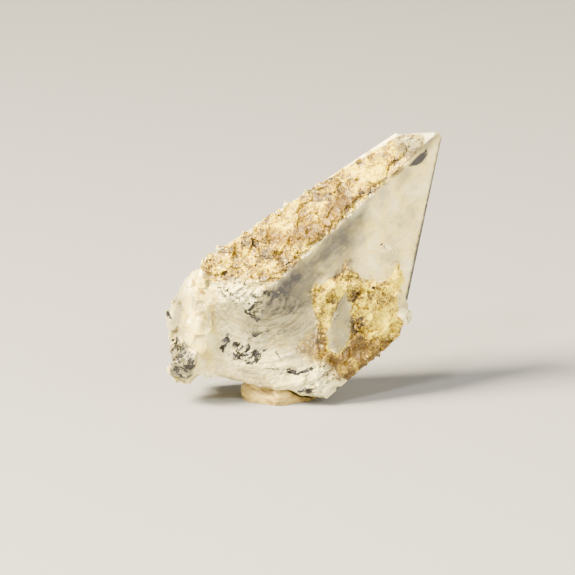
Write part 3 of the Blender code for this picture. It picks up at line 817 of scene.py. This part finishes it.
@dataclass(frozen=True)
class MountingPutty:
    """Old mounting putty, pressed by hand: dull and waxy, beige with darker yellow-brown streaks."""

    name: str = "mounting_putty"
    body: str = "#D0BA6A"
    dirt: str = "#7E6432"
    roughness: float = 0.55

    def build(self) -> Material:
        """Joins the streaks that pressing left to the waxy skin.

        Returns:
            The material.
        """
        material, add = new_material(self.name)
        here = add("TexCoord", None, "Object")
        pressed = add("Mapping", {
            "Vector": here, "Scale": (1.0, 1.0, 2.6), "Rotation": (0.0, 0.35, 0.0)})
        streaks = add("TexNoise", {
            "Vector": pressed, "Scale": 1 / (2.4 * MM), "Detail": 5.0, "Roughness": 0.65}, "Fac")
        dirty = add("MapRange", {0: streaks, 1: 0.40, 2: 0.62})
        shade = add("Mix", {0: dirty, 6: colour(self.body), 7: colour(self.dirt)}, RESULT, **RGBA)
        skin = add("BsdfPrincipled", {
            "Base Color": shade, "Roughness": self.roughness,
            "Normal": add("Bump", {"Strength": 0.5, "Distance": 0.2 * MM, "Height": streaks}, "Normal"),
            "Subsurface Weight": 0.15, "Subsurface Radius": (1.0, 0.8, 0.5), "Subsurface Scale": 0.8 * MM,
        }, "BSDF")
        add("OutputMaterial", {"Surface": skin})
        return material


@dataclass(frozen=True)
class PaperSweep:
    """Matt pale paper under and behind the crystal, which gives soft light back from below."""

    name: str = "paper_sweep"
    shade: str = "#9A9DA5"
    roughness: float = 0.8

    def build(self) -> Material:
        """Sets the tone and roughness of a plain material.

        Returns:
            The material.
        """
        material = bpy.data.materials.new(self.name)
        material.use_nodes = True
        skin = material.node_tree.nodes["Principled BSDF"]
        skin.inputs["Base Color"].default_value = colour(self.shade)
        skin.inputs["Roughness"].default_value = self.roughness
        return material


# ---------------- the pieces

@dataclass(frozen=True)
class CrustEdge:
    """How the stained crust ends.

    Attributes:
        fade: Where it begins and where it is whole, in mm inside its outline.
        rise: The same in mm above the clean face.
        window: How far in mm the crust runs over its bare window's rim, and how fast it ends there.
    """

    fade: tuple[float, float] = (-0.1, 0.5)
    rise: tuple[float, float] = (-0.5, 0.02)
    window: tuple[float, float] = (0.0, 1.0)


CRISP_EDGE = CrustEdge()
FADED_EDGE = CrustEdge((-0.9, 1.3), (-0.8, -0.3), (0.25, 1.4))


@dataclass
class Skin:
    """What is known of each point of the crystal's skin, in the crystal's own frame.

    Attributes:
        own: Places across, back and along, in mm.
        facing: Normals in the same frame.
    """

    own: Array
    facing: Array

    @classmethod
    def of(cls, mesh: Mesh) -> "Skin":
        """Reads the skin of a mesh."""
        return cls(AXES.own(places_of(mesh)), normals_of(mesh) @ AXES.rows().T)

    def __post_init__(self) -> None:
        """Works out each point's place in the front view and how far it faces the front."""
        self.x, self.z = AXES.seen(self.own)
        self.front = smooth(-self.facing[:, 1], 0.0, 0.25)

    def lumps(self, size: float, seed: int, octaves: int = 3) -> Array:
        """Returns the skin's noise_field."""
        return noise_field(self.own, size, seed, octaves)

    def facets(self, size: float, seed: int) -> Array:
        """Returns the skin's facet_field."""
        return facet_field(self.own, size, seed)

    def height_on(self, face: tuple[float, float, float]) -> Array:
        """Returns how far above a grown face each point lies, in mm."""
        return self.own @ AXES.normal(face[0], face[1]) - face[2]

    def face_share(self, face: tuple[float, float, float], reach: float = 0.16,
                   turn: float = 0.62) -> Array:
        """Tells which points belong to a clean face.

        Args:
            face: The face, one of GROWN_FACES.
            reach: How far off the face in mm a point may lie.
            turn: How well its normal has to agree with the face's, up to 1.

        Returns:
            1 on the face or its edge, and 0 away from it.
        """
        along = self.facing @ AXES.normal(face[0], face[1])
        near = smooth(-np.abs(self.height_on(face)), -2 * reach, -reach)
        return near * smooth(along, turn - 0.1, turn)

    def grown(self) -> Array:
        """Returns 1 where a point lies on any flat grown face."""
        return np.max([self.face_share(face) for face in GROWN_FACES], axis=0)

    def bowl(self) -> tuple[Array, Array]:
        """Finds the shell-like hollow.

        Returns:
            1 within the hollow and 0 outside it, and the distance from the blow in mm.
        """
        normal = AXES.normal(*SHELL_NORMAL)
        from_blow = self.own - np.array(SHELL_POINT)
        height = from_blow @ normal
        radius = np.linalg.norm(from_blow - height[:, None] * normal, axis=1)
        steps = np.array(SHELL_PROFILE)
        surface = np.interp(radius, steps[:, 0], steps[:, 1])
        near = smooth(-np.abs(height - surface), -1.0, -0.45)
        return near * (1 - self.grown()) * self.front, radius

    def arcs(self, width: float = 0.55, turn: float = 1.6) -> Array:
        """Draws noise out along arcs round the blow, as fibres in the shell-like hollow.

        Args:
            width: The fibres' width in mm.
            turn: How soon a fibre changes along its arc, in mm for each radian.

        Returns:
            The noise, about -1 to 1.
        """
        normal = AXES.normal(*SHELL_NORMAL)
        side = np.cross(normal, (0.0, 0.0, 1.0))
        side /= np.linalg.norm(side)
        from_blow = self.own - np.array(SHELL_POINT)
        right, up = from_blow @ side, from_blow @ np.cross(normal, side)
        radius, angle = np.hypot(right, up), np.arctan2(up, right)
        spots = np.stack((radius, turn * np.cos(angle), turn * np.sin(angle)), axis=1)
        return noise_field(spots, width, 17)

    def band(self) -> Array:
        """Finds the crusted band above the front ridge.

        Returns:
            1 within the band and 0 outside it.
        """
        across, along = self.own[:, 0], self.own[:, 2]
        faces_up = smooth((self.facing @ AXES.rows())[:, 2], 0.50, 0.65) * (1 - smooth(along, 13.0, 19.0))
        inside = smooth(margin(BAND_CRUST, across, along) + faces_up, -0.2, 0.3)
        ahead = np.maximum(self.front, faces_up * smooth(-self.facing[:, 1], -0.6, -0.3))
        return inside * smooth(self.height_on(BAND_FACE) + 1.5 * faces_up, -0.28, -0.08) * ahead

    def lobe(self) -> Array:
        """Returns 1 on the smoother, milky lobe at the lower left."""
        return smooth(-self.own[:, 2], 12.5, 14.5) * smooth(-self.x, 15.0, 17.0)

    def bevel(self) -> Array:
        """Returns 1 along the lower right edge, where the stained crust runs on over the corner."""
        return smooth(-self.z, 7.5, 9.5) * smooth(self.x + self.z * 0.2, 3.0, 5.0)

    def patch(self, edge: CrustEdge = CRISP_EDGE) -> Array:
        """Finds the stained crust on the front face, clear of its window.

        Args:
            edge: How the crust ends.

        Returns:
            1 within the crust and 0 outside it.
        """
        across, along = self.own[:, 0], self.own[:, 2]
        bevel = self.bevel()
        over_rim, fall = edge.window
        inside = np.minimum(margin(STAINED_CRUST, across, along) + 2.0 * bevel,
                            over_rim - fall * margin(BARE_WINDOW, across, along))
        raised = smooth(self.height_on(FRONT_FACE) + 4.0 * bevel, *edge.rise)
        return smooth(inside, *edge.fade) * raised * self.front


@dataclass
class CrystalBody:
    """The crystal itself, remeshed from its solid and given its fracture, ripples and marks.

    Attributes:
        voxel: The width of the skin's squares in mm.
        ripple: The height in mm of the rings in the shell-like hollow.
        ring_gap: The distance in mm from ring to ring.
        proud: The height in mm of the marks that stand proud.
        dip: How far in mm the band's lower edge is rounded off.
        crease: The least angle in degrees between two squares that leaves a sharp edge.
        finish: The stone.
    """

    voxel: float = 0.375
    ripple: float = 0.05
    ring_gap: float = 1.05
    proud: float = 0.45
    dip: float = 0.30
    crease: float = 14
    finish: MilkyQuartz = field(default_factory=MilkyQuartz)

    def build(self) -> Object:
        """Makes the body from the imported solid.

        Returns:
            The finished piece.
        """
        obj = copy_of_node("quartz_crystal", "crystal_body")
        remesh(obj, self.voxel)
        self.sharpen(obj.data)
        self.refine(obj)
        self.shape(obj.data)
        self.mark(obj.data)
        make_active(obj)
        bpy.ops.object.shade_smooth_by_angle(angle=math.radians(self.crease))
        obj.data.materials.append(self.finish.build())
        return obj

    def sharpen(self, mesh: Mesh) -> None:
        """Sets points that lie near clean faces back on them, so their edges are sharp again.

        Args:
            mesh: The body's mesh.
        """
        skin = Skin.of(mesh)
        own = skin.own.copy()
        for _ in range(3):  # a point near an edge or a corner takes a few rounds to settle
            for azimuth, from_axis, distance in GROWN_FACES:
                normal = AXES.normal(azimuth, from_axis)
                off = own @ normal - distance
                near = (np.abs(off) < 0.7 * self.voxel) & (skin.facing @ normal > 0.6)
                own[near] -= off[near, None] * normal
        place_points(mesh, (own @ AXES.rows() + np.array(AXES.middle)) * MM)

    def refine(self, obj: Object) -> None:
        """Divides the skin's squares again where it is broken or crusted and seen from the front.

        Args:
            obj: The body.
        """
        skin = Skin.of(obj.data)
        crust = np.maximum(skin.band(), skin.patch())
        crisp = skin.front * covered(CRISP_CLEAR_MARKS, skin.x, skin.z) > 0.02
        rough = (np.maximum(crust, (1 - skin.grown()) * skin.front) > 0.5) | crisp
        make_active(obj)
        bpy.ops.object.mode_set(mode="EDIT")
        bpy.ops.mesh.select_all(action="DESELECT")
        bpy.ops.object.mode_set(mode="OBJECT")
        chosen = np.array([all(rough[v] for v in face.vertices) for face in obj.data.polygons])
        obj.data.polygons.foreach_set("select", chosen)
        obj.data.update()
        bpy.ops.object.mode_set(mode="EDIT")
        bpy.ops.mesh.subdivide(number_cuts=1)
        bpy.ops.object.mode_set(mode="OBJECT")

    def crumb(self, skin: Skin, slivers: Array) -> Array:
        """Works out the relief of the crusts, which is lower and finer towards the crystal's tip.

        Args:
            skin: The body's skin.
            slivers: The finest facets, as they are on the fracture.

        Returns:
            Heights in mm.
        """
        along = skin.own[:, 2]
        crumb = 0.22 * skin.facets(2.6, 21)
        crumb += (0.15 - 0.08 * smooth(along, 6.0, 15.0)) * skin.facets(1.1, 23) - 0.05
        crumb += 0.12 * slivers * (1 - 0.7 * smooth(along, 3.0, 13.0))
        crumb *= 1.5 - 0.6 * smooth(along, 4.0, 12.0)
        return (crumb + 0.08 * skin.lumps(1.8, 22)) * (1 - 0.75 * smooth(along, 21, 29))

    def shape(self, mesh: Mesh) -> None:
        """Moves the skin out and in for the crust's crumb, the hackles and the ripples.

        Args:
            mesh: The body's mesh.
        """
        skin = Skin.of(mesh)
        bowl, radius = skin.bowl()
        band, grown, lobe = skin.band(), skin.grown(), skin.lobe()
        crust = np.maximum(band, skin.patch())
        uneven = (1 - grown) * (1 - crust) * (1 - bowl)
        # The shell-like hollow: rings round the blow with fibres across them, and small chips.
        rings = np.sin(math.tau * (radius + 0.9 * skin.lumps(3.0, 4)) / self.ring_gap)
        relief = bowl * self.ripple * (0.5 * rings + 1.3 * skin.arcs()) * smooth(radius, 2.0, 6.0)
        relief += bowl * 0.12 * skin.facets(0.9, 8)
        # The hackly break: splinters drawn out along the c axis, slivers, flakes and fine grain.
        slivers = skin.facets(0.6, 5)
        drawn_out = skin.own * np.array((1.0, 1.0, 0.45))
        hackles = 0.42 * facet_field(drawn_out, 1.2, 19) + 0.40 * slivers
        hackles += 0.10 * skin.facets(1.4, 3)
        hackly = 0.30 + np.maximum(
            0.7 * skin.front * covered(GLINT_MARKS, skin.x, skin.z), 0.25 * (1 - skin.front))
        relief += uneven * hackly * (1 - 0.8 * lobe * skin.front) * hackles
        relief += uneven * (1 - 0.8 * lobe) * 0.05 * skin.lumps(0.6, 6)
        # The knobs that stand proud, the lobe's broad facets and the crusts' crumb.
        bare = skin.front * (1 - crust) * (1 - grown)
        relief += self.proud * bare * covered(PROUD_MARKS, skin.x, skin.z)
        relief += uneven * lobe * 0.22 * skin.facets(3.4, 13)
        relief += crust * self.crumb(skin, slivers)
        # The band's lower edge, which is rounded off where it turns away from the band's face.
        turned = 0.86 - skin.facing @ AXES.normal(BAND_FACE[0], BAND_FACE[1])
        relief -= self.dip * band * smooth(turned, 0.0, 0.2)
        place_points(mesh, places_of(mesh) + normals_of(mesh) * relief[:, None] * MM)
        write_mask(mesh, "hollow", 0.5 - 1.6 * (relief - 0.15 * skin.lumps(2.5, 25) * crust))

    def mark(self, mesh: Mesh) -> None:
        """Writes the masks that the material reads.

        Args:
            mesh: The body's mesh.
        """
        skin = Skin.of(mesh)
        x, z, front, along = skin.x, skin.z, skin.front, skin.own[:, 2]
        behind, grown, lobe = 1 - front, skin.grown(), skin.lobe()
        bowl, _ = skin.bowl()
        band, patch, arcs = skin.band(), skin.patch(), skin.arcs()
        veil, drift = skin.lumps(6.0, 11), skin.lumps(2.2, 12)
        wander_x = x + 0.55 * skin.lumps(1.6, 15)
        wander_z = z + 0.55 * skin.lumps(1.6, 16)
        # clear: where the stone is clear, which the material paints dark as painted shade of its depth.
        clear = np.maximum(covered(CLEAR_MARKS, wander_x, wander_z), covered(CRISP_CLEAR_MARKS, x, z))
        clear *= front * (1 - band * (1 - smooth(along, 23.0, 25.5))) * (1 - 0.8 * patch)
        clear += behind * grown * (0.10 + 0.50 * smooth(skin.lumps(15.0, 31, 2), -0.2, 0.8))
        # The hollow's arcs also raise its clearness ring by ring: painted light and shade of its ripples.
        clear += 0.30 * bowl * arcs
        stain = front * covered(STAIN_MARKS, x, z)
        stain = np.maximum(stain, band * (0.43 + 0.34 * drift))
        stain = np.maximum(stain, patch * (0.26 * drift + 1.0 * smooth(-z, 8.5, 14.5)))
        stain *= 1 - front * 0.7 * covered(CREAM_MARKS, x, z)
        stain = np.maximum(stain, behind * (1 - grown) * smooth(drift, 0.0, 0.6) * 0.6)
        # glint: where the material paints splinters lit and shaded, on the front's marks and on the broken
        # stone behind.
        glint = front * covered(GLINT_MARKS, x, z) + behind * (1 - grown) * smooth(veil, 0.1, 0.5) * 0.5
        broken = np.maximum(1 - grown, np.maximum(band, patch))
        broken *= (1 - 0.75 * bowl) * (1 - 0.85 * lobe * front)
        cream = 0.40 * grown + 0.25 * bowl + lobe * (0.32 + 0.40 * drift) + 0.4 * (1 - grown) * (1 - bowl)
        # The hollow's arcs also raise its paleness ring by ring: painted light and shade of its ripples.
        cream += 0.7 * bowl * arcs + front * 1.2 * covered(CREAM_MARKS, wander_x, wander_z) + band * 0.3
        fissure = front * covered(DARK_MARKS, x, z)
        crust = np.maximum(band * (1 - 0.55 * smooth(along, 24.0, 29.0)), skin.patch(FADED_EDGE))
        for name, values in (
            ("clear", clear), ("stain", stain), ("crust", crust), ("broken", broken),
            ("cream", cream), ("fissure", fissure), ("glint", glint),
        ):
            write_mask(mesh, name, values)


@dataclass
class GrainCrust:
    """A crust of small crystals grown on part of the body.

    Attributes:
        name: The piece's name.
        habit: The shape of its crystals.
        count: How many crystals there are.
        widths: The least and greatest width of a crystal in mm.
        tall: How much taller than wide a crystal is.
        tilt: How far crystals lean from the surface's normal, as a share of it.
        seed: Chooses one of many arrangements.
        chance: Works out how likely a crystal is at each point of a skin.
        rust: Works out how rusty a crystal is at each point.
        tint: The most by which one crystal is darker than another.
        forms: How many forms its crystals come in.
    """

    name: str
    habit: Habit
    count: int
    widths: tuple[float, float]
    tall: float
    tilt: float
    seed: int
    chance: Callable[[Skin], Array]
    rust: Callable[[Skin], Array]
    tint: float = 0.35
    forms: int = 4

    def model(self, variant: int) -> tuple[Array, list[tuple[int, ...]]]:
        """Models one small crystal, 1 wide, standing on its foot.

        Args:
            variant: Which of its uneven forms to make.

        Returns:
            Its points and its faces.
        """
        if self.habit is Habit.POINT:
            obj = self.point(2.1 * variant)
        else:
            obj = self.broken_crumb(variant + 3)
        bpy.ops.object.mode_set(mode="OBJECT")
        points = places_of(obj.data) + np.array(obj.location)
        faces = [tuple(face.vertices) for face in obj.data.polygons]
        bpy.data.objects.remove(obj)
        return points, faces

    def point(self, turn: float, height: float = 0.38, off: float = 0.16) -> Object:
        """Models a six-sided point and leaves it in edit mode.

        Args:
            turn: Which way its tip leans, in radians.
            height: The tip's height above the sides.
            off: How far off the middle the tip is.

        Returns:
            The point.
        """
        deselect()
        bpy.ops.mesh.primitive_cylinder_add(vertices=6, radius=0.5, depth=1.0, location=(0, 0, 0))
        obj = bpy.context.active_object
        bpy.ops.object.mode_set(mode="EDIT")
        bpy.ops.mesh.select_all(action="DESELECT")
        shape = bmesh.from_edit_mesh(obj.data)
        for face in shape.faces:
            face.select_set(face.normal.z > 0.9)
        bmesh.update_edit_mesh(obj.data)
        bpy.ops.mesh.poke(offset=height)
        tip = max(bmesh.from_edit_mesh(obj.data).verts, key=lambda v: v.co.z)
        bpy.ops.mesh.select_all(action="DESELECT")
        tip.select_set(True)
        bmesh.update_edit_mesh(obj.data)
        bpy.ops.transform.translate(value=(off * math.cos(turn), off * math.sin(turn), 0))
        return obj

    def broken_crumb(self, seed: int) -> Object:
        """Models an uneven crumb and leaves it in edit mode.

        Args:
            seed: Chooses one of many forms.

        Returns:
            The crumb.
        """
        deselect()
        bpy.ops.mesh.primitive_ico_sphere_add(subdivisions=1, radius=0.55, location=(0, 0, 0.1))
        bpy.ops.object.mode_set(mode="EDIT")
        bpy.ops.mesh.select_all(action="SELECT")
        bpy.ops.transform.vertex_random(offset=0.22, uniform=0.6, seed=seed)
        return bpy.context.active_object

    def build(self, body: Object, material: Material) -> Object:
        """Scatters copies of the small crystals over the body's skin as one piece.

        Args:
            body: The crystal's body.
            material: The finish of the crust.

        Returns:
            The finished piece.
        """
        rng = np.random.default_rng(self.seed)
        skin = Skin.of(body.data)
        places, normals = places_of(body.data), normals_of(body.data)
        chance, rust = self.chance(skin), self.rust(skin)
        chosen = rng.choice(len(places), size=self.count, replace=False, p=chance / chance.sum())
        models = [self.model(variant) for variant in range(self.forms)]
        points, faces, stains, tints = [], [], [], []
        total = 0
        low, high = self.widths
        for spot in chosen:
            shape, sides = models[int(rng.integers(len(models)))]
            width = low + (high - low) * rng.random() ** 2.2  # so that most are small
            lean = rng.normal(size=3)
            up = normals[spot] + self.tilt * lean / np.linalg.norm(lean)
            up /= np.linalg.norm(up)
            turn = Matrix.Rotation(rng.random() * math.tau, 3, "Z")
            turn = Vector(up).to_track_quat("Z", "Y").to_matrix() @ turn
            size = width * np.array((1.0, rng.uniform(0.75, 1.1), self.tall * rng.uniform(0.8, 1.3)))
            points.append((shape * size) @ np.array(turn).T * MM + places[spot])
            faces.extend(tuple(total + corner for corner in side) for side in sides)
            total += len(shape)
            stains.append(np.full(len(shape), rust[spot]))
            tints.append(np.full(len(shape), rng.random()))
        mesh = bpy.data.meshes.new(self.name)
        mesh.from_pydata(np.concatenate(points).tolist(), [], faces)
        mesh.update()
        obj = add_object(self.name, mesh)
        write_mask(mesh, "stain", np.concatenate(stains))
        write_mask(mesh, "tint", self.tint * np.concatenate(tints))
        mesh.materials.append(material)
        return obj


def band_chance(skin: Skin) -> Array:
    """Returns how likely a crystal is at each point of the band: fewer towards its tip."""
    return skin.band() * (1 - smooth(skin.own[:, 2], -4.0, 7.0)) + LEAST_CHANCE


def patch_chance(skin: Skin) -> Array:
    """Returns how likely a crumb is at each point of the stained crust."""
    return skin.patch() + LEAST_CHANCE


def band_rust(skin: Skin) -> Array:
    """Works out how rusty the band is.

    Args:
        skin: The body's skin.

    Returns:
        The rust at each point, from 0 to 1.
    """
    drift = skin.lumps(2.2, 12)
    rust = np.maximum(covered(STAIN_MARKS, skin.x, skin.z), 0.34 + 0.35 * drift)
    return np.clip(rust * (1 - 0.8 * covered(CREAM_MARKS, skin.x, skin.z)), 0, 1)


def patch_rust(skin: Skin) -> Array:
    """Returns how rusty the stained crust is at each point, from 0 to 1."""
    drift = skin.lumps(2.0, 14)
    return np.clip(np.maximum(covered(STAIN_MARKS, skin.x, skin.z), 0.5 + 0.35 * drift), 0, 1)


@dataclass
class PuttyLump:
    """The pressed lump of putty that holds the crystal upright.

    Attributes:
        voxel: The width of its skin's squares in mm.
        unevenness: How high in mm its skin is pressed out.
        finish: The putty.
    """

    voxel: float = 0.22
    unevenness: float = 0.22
    finish: MountingPutty = field(default_factory=MountingPutty)

    def build(self) -> Object:
        """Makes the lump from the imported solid; its foot stays flat.

        Returns:
            The finished piece.
        """
        obj = copy_of_node("mounting_putty", "putty_lump")
        remesh(obj, self.voxel)
        mesh = obj.data
        places = places_of(mesh)
        wave = noise_field(places / MM * np.array((0.6, 0.6, 1.6)), 2.2, 31)
        height = self.unevenness * wave * smooth(places[:, 2] / MM, 0.3, 1.0)
        place_points(mesh, places + normals_of(mesh) * height[:, None] * MM)
        mesh.materials.append(self.finish.build())
        return obj


# ---------------- the studio

@dataclass
class Studio:
    """A pale paper sweep, one large soft light from the upper left and a weak fill, and the camera.

    Attributes:
        distance: The camera's distance in mm.
        lens: Its focal length in mm.
        sensor: Its sensor's width in mm.
        aim: Where it looks, in mm right of and above the crystal's middle in the front view.
        target: What the lights face, in metres.
        lights: Each light's name, place in metres, width in metres, power in watts and colour.
        room: The tone of the light from all round.
        room_strength: How strong that light is.
        paper: What the crystal stands on.
    """

    distance: float = 720.0
    lens: float = 250.0
    sensor: float = 36.0
    aim: tuple[float, float] = (-2.97, -2.79)
    target: tuple[float, float, float] = (0, 0, 0.025)
    lights: tuple[tuple, ...] = (
        ("key", (-0.55, -0.35, 0.75), 0.4, 86.0, "#FFEAC0"),
        ("spark", (-0.25, -0.62, 0.55), 0.10, 7.0, "#FFF6E4"),
        ("fill", (0.7, -0.6, 0.35), 0.8, 10.0, "#FFF4E0"),
    )
    room: str = "#ECE8DE"
    room_strength: float = 0.72
    paper: PaperSweep = field(default_factory=PaperSweep)

    def floor(self, width: float = 2.4, shift: float = 0.2, height: float = 1.6, bend: float = 0.5) -> None:
        """Adds the paper, which lies flat and curves up far behind the crystal.

        Args:
            width: Its width in metres.
            shift: How far back in metres its middle lies.
            height: How high in metres it goes up.
            bend: The radius in metres of its curve.
        """
        deselect()
        bpy.ops.mesh.primitive_plane_add(size=width, location=(0, shift, 0))
        obj = bpy.context.active_object
        obj.name = "paper_sweep"
        bpy.ops.object.mode_set(mode="EDIT")
        shape = bmesh.from_edit_mesh(obj.data)
        for edge in shape.edges:
            edge.select_set(all(v.co.y > 0 for v in edge.verts))
        for vert in shape.verts:
            vert.select_set(vert.co.y > 0)
        bmesh.update_edit_mesh(obj.data)
        bpy.ops.mesh.extrude_region_move(TRANSFORM_OT_translate={"value": (0, 0, height)})
        bpy.ops.object.mode_set(mode="OBJECT")
        fold = obj.modifiers.new("fold", "BEVEL")
        fold.width, fold.segments = bend, 16
        make_active(obj)
        bpy.ops.object.modifier_apply(modifier=fold.name)
        bpy.ops.object.shade_smooth()
        obj.data.materials.append(self.paper.build())

    def light(self, name: str, place: tuple[float, float, float], size: float, power: float,
              tone: str) -> None:
        """Adds one soft square light that faces the crystal.

        Args:
            name: The light's name.
            place: Where it stands, in metres.
            size: The width of its square in metres.
            power: Its power in watts.
            tone: Its colour.
        """
        lamp = bpy.data.lights.new(name, "AREA")
        lamp.size, lamp.energy, lamp.color = size, power, colour(tone)[:3]
        obj = add_object(name, lamp)
        obj.location = place
        obj.rotation_euler = (Vector(self.target) - Vector(place)).to_track_quat("-Z", "Y").to_euler()

    def camera(self, clip: float = 0.05) -> None:
        """Adds the camera at the photograph's angle.

        Args:
            clip: The distance in metres from which it sees anything.
        """
        lean = math.radians(AXES.lean)
        up = Vector((0, math.sin(lean), math.cos(lean)))
        aim = Vector(AXES.middle) + Vector((self.aim[0], 0, 0)) + up * self.aim[1]
        place = aim + Vector((0, -math.cos(lean), math.sin(lean))) * self.distance
        lens = bpy.data.cameras.new("front_view")
        lens.lens, lens.sensor_width, lens.clip_start = self.lens, self.sensor, clip
        obj = add_object("front_view", lens)
        obj.location = place * MM
        obj.rotation_euler = (math.pi / 2 - lean, 0, 0)
        bpy.context.scene.camera = obj

    def build(self) -> None:
        """Adds the paper, the lights, the room's own light and the camera."""
        self.floor()
        for light in self.lights:
            self.light(*light)
        world = bpy.data.worlds.new("soft_room")
        world.use_nodes = True
        room = world.node_tree.nodes["Background"]
        room.inputs["Color"].default_value = colour(self.room)
        room.inputs["Strength"].default_value = self.room_strength
        bpy.context.scene.world = world
        self.camera()


def settle(piece: Object, node: str) -> None:
    """Tells the frame about a finished piece, which rides on the root, and reports it.

    Args:
        piece: The piece.
        node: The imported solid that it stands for.
    """
    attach(piece, "root")
    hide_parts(node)
    triangles = sum(len(face.vertices) - 2 for face in piece.data.polygons)
    LOG.info("%s: %d triangles", piece.name, triangles)


def main() -> None:
    """Builds the crystal's body, its crusts, the putty and the studio, in that order."""
    logging.basicConfig(level=logging.INFO, format="%(name)s: %(message)s")
    body = CrystalBody().build()
    settle(body, "quartz_crystal")
    sugar = SugaryQuartz().build()
    for crust in (
        GrainCrust("band_crystals", Habit.POINT, 110, (0.25, 0.6), 0.7, 0.9, 41, band_chance, band_rust),
        GrainCrust("stained_crumbs", Habit.CRUMB, 90, (0.25, 0.5), 0.8, 0.6, 42, patch_chance, patch_rust),
    ):
        settle(crust.build(body, sugar), "quartz_crystal")
    settle(PuttyLump().build(), "mounting_putty")
    Studio().build()


if __name__ == "__main__":
    main()
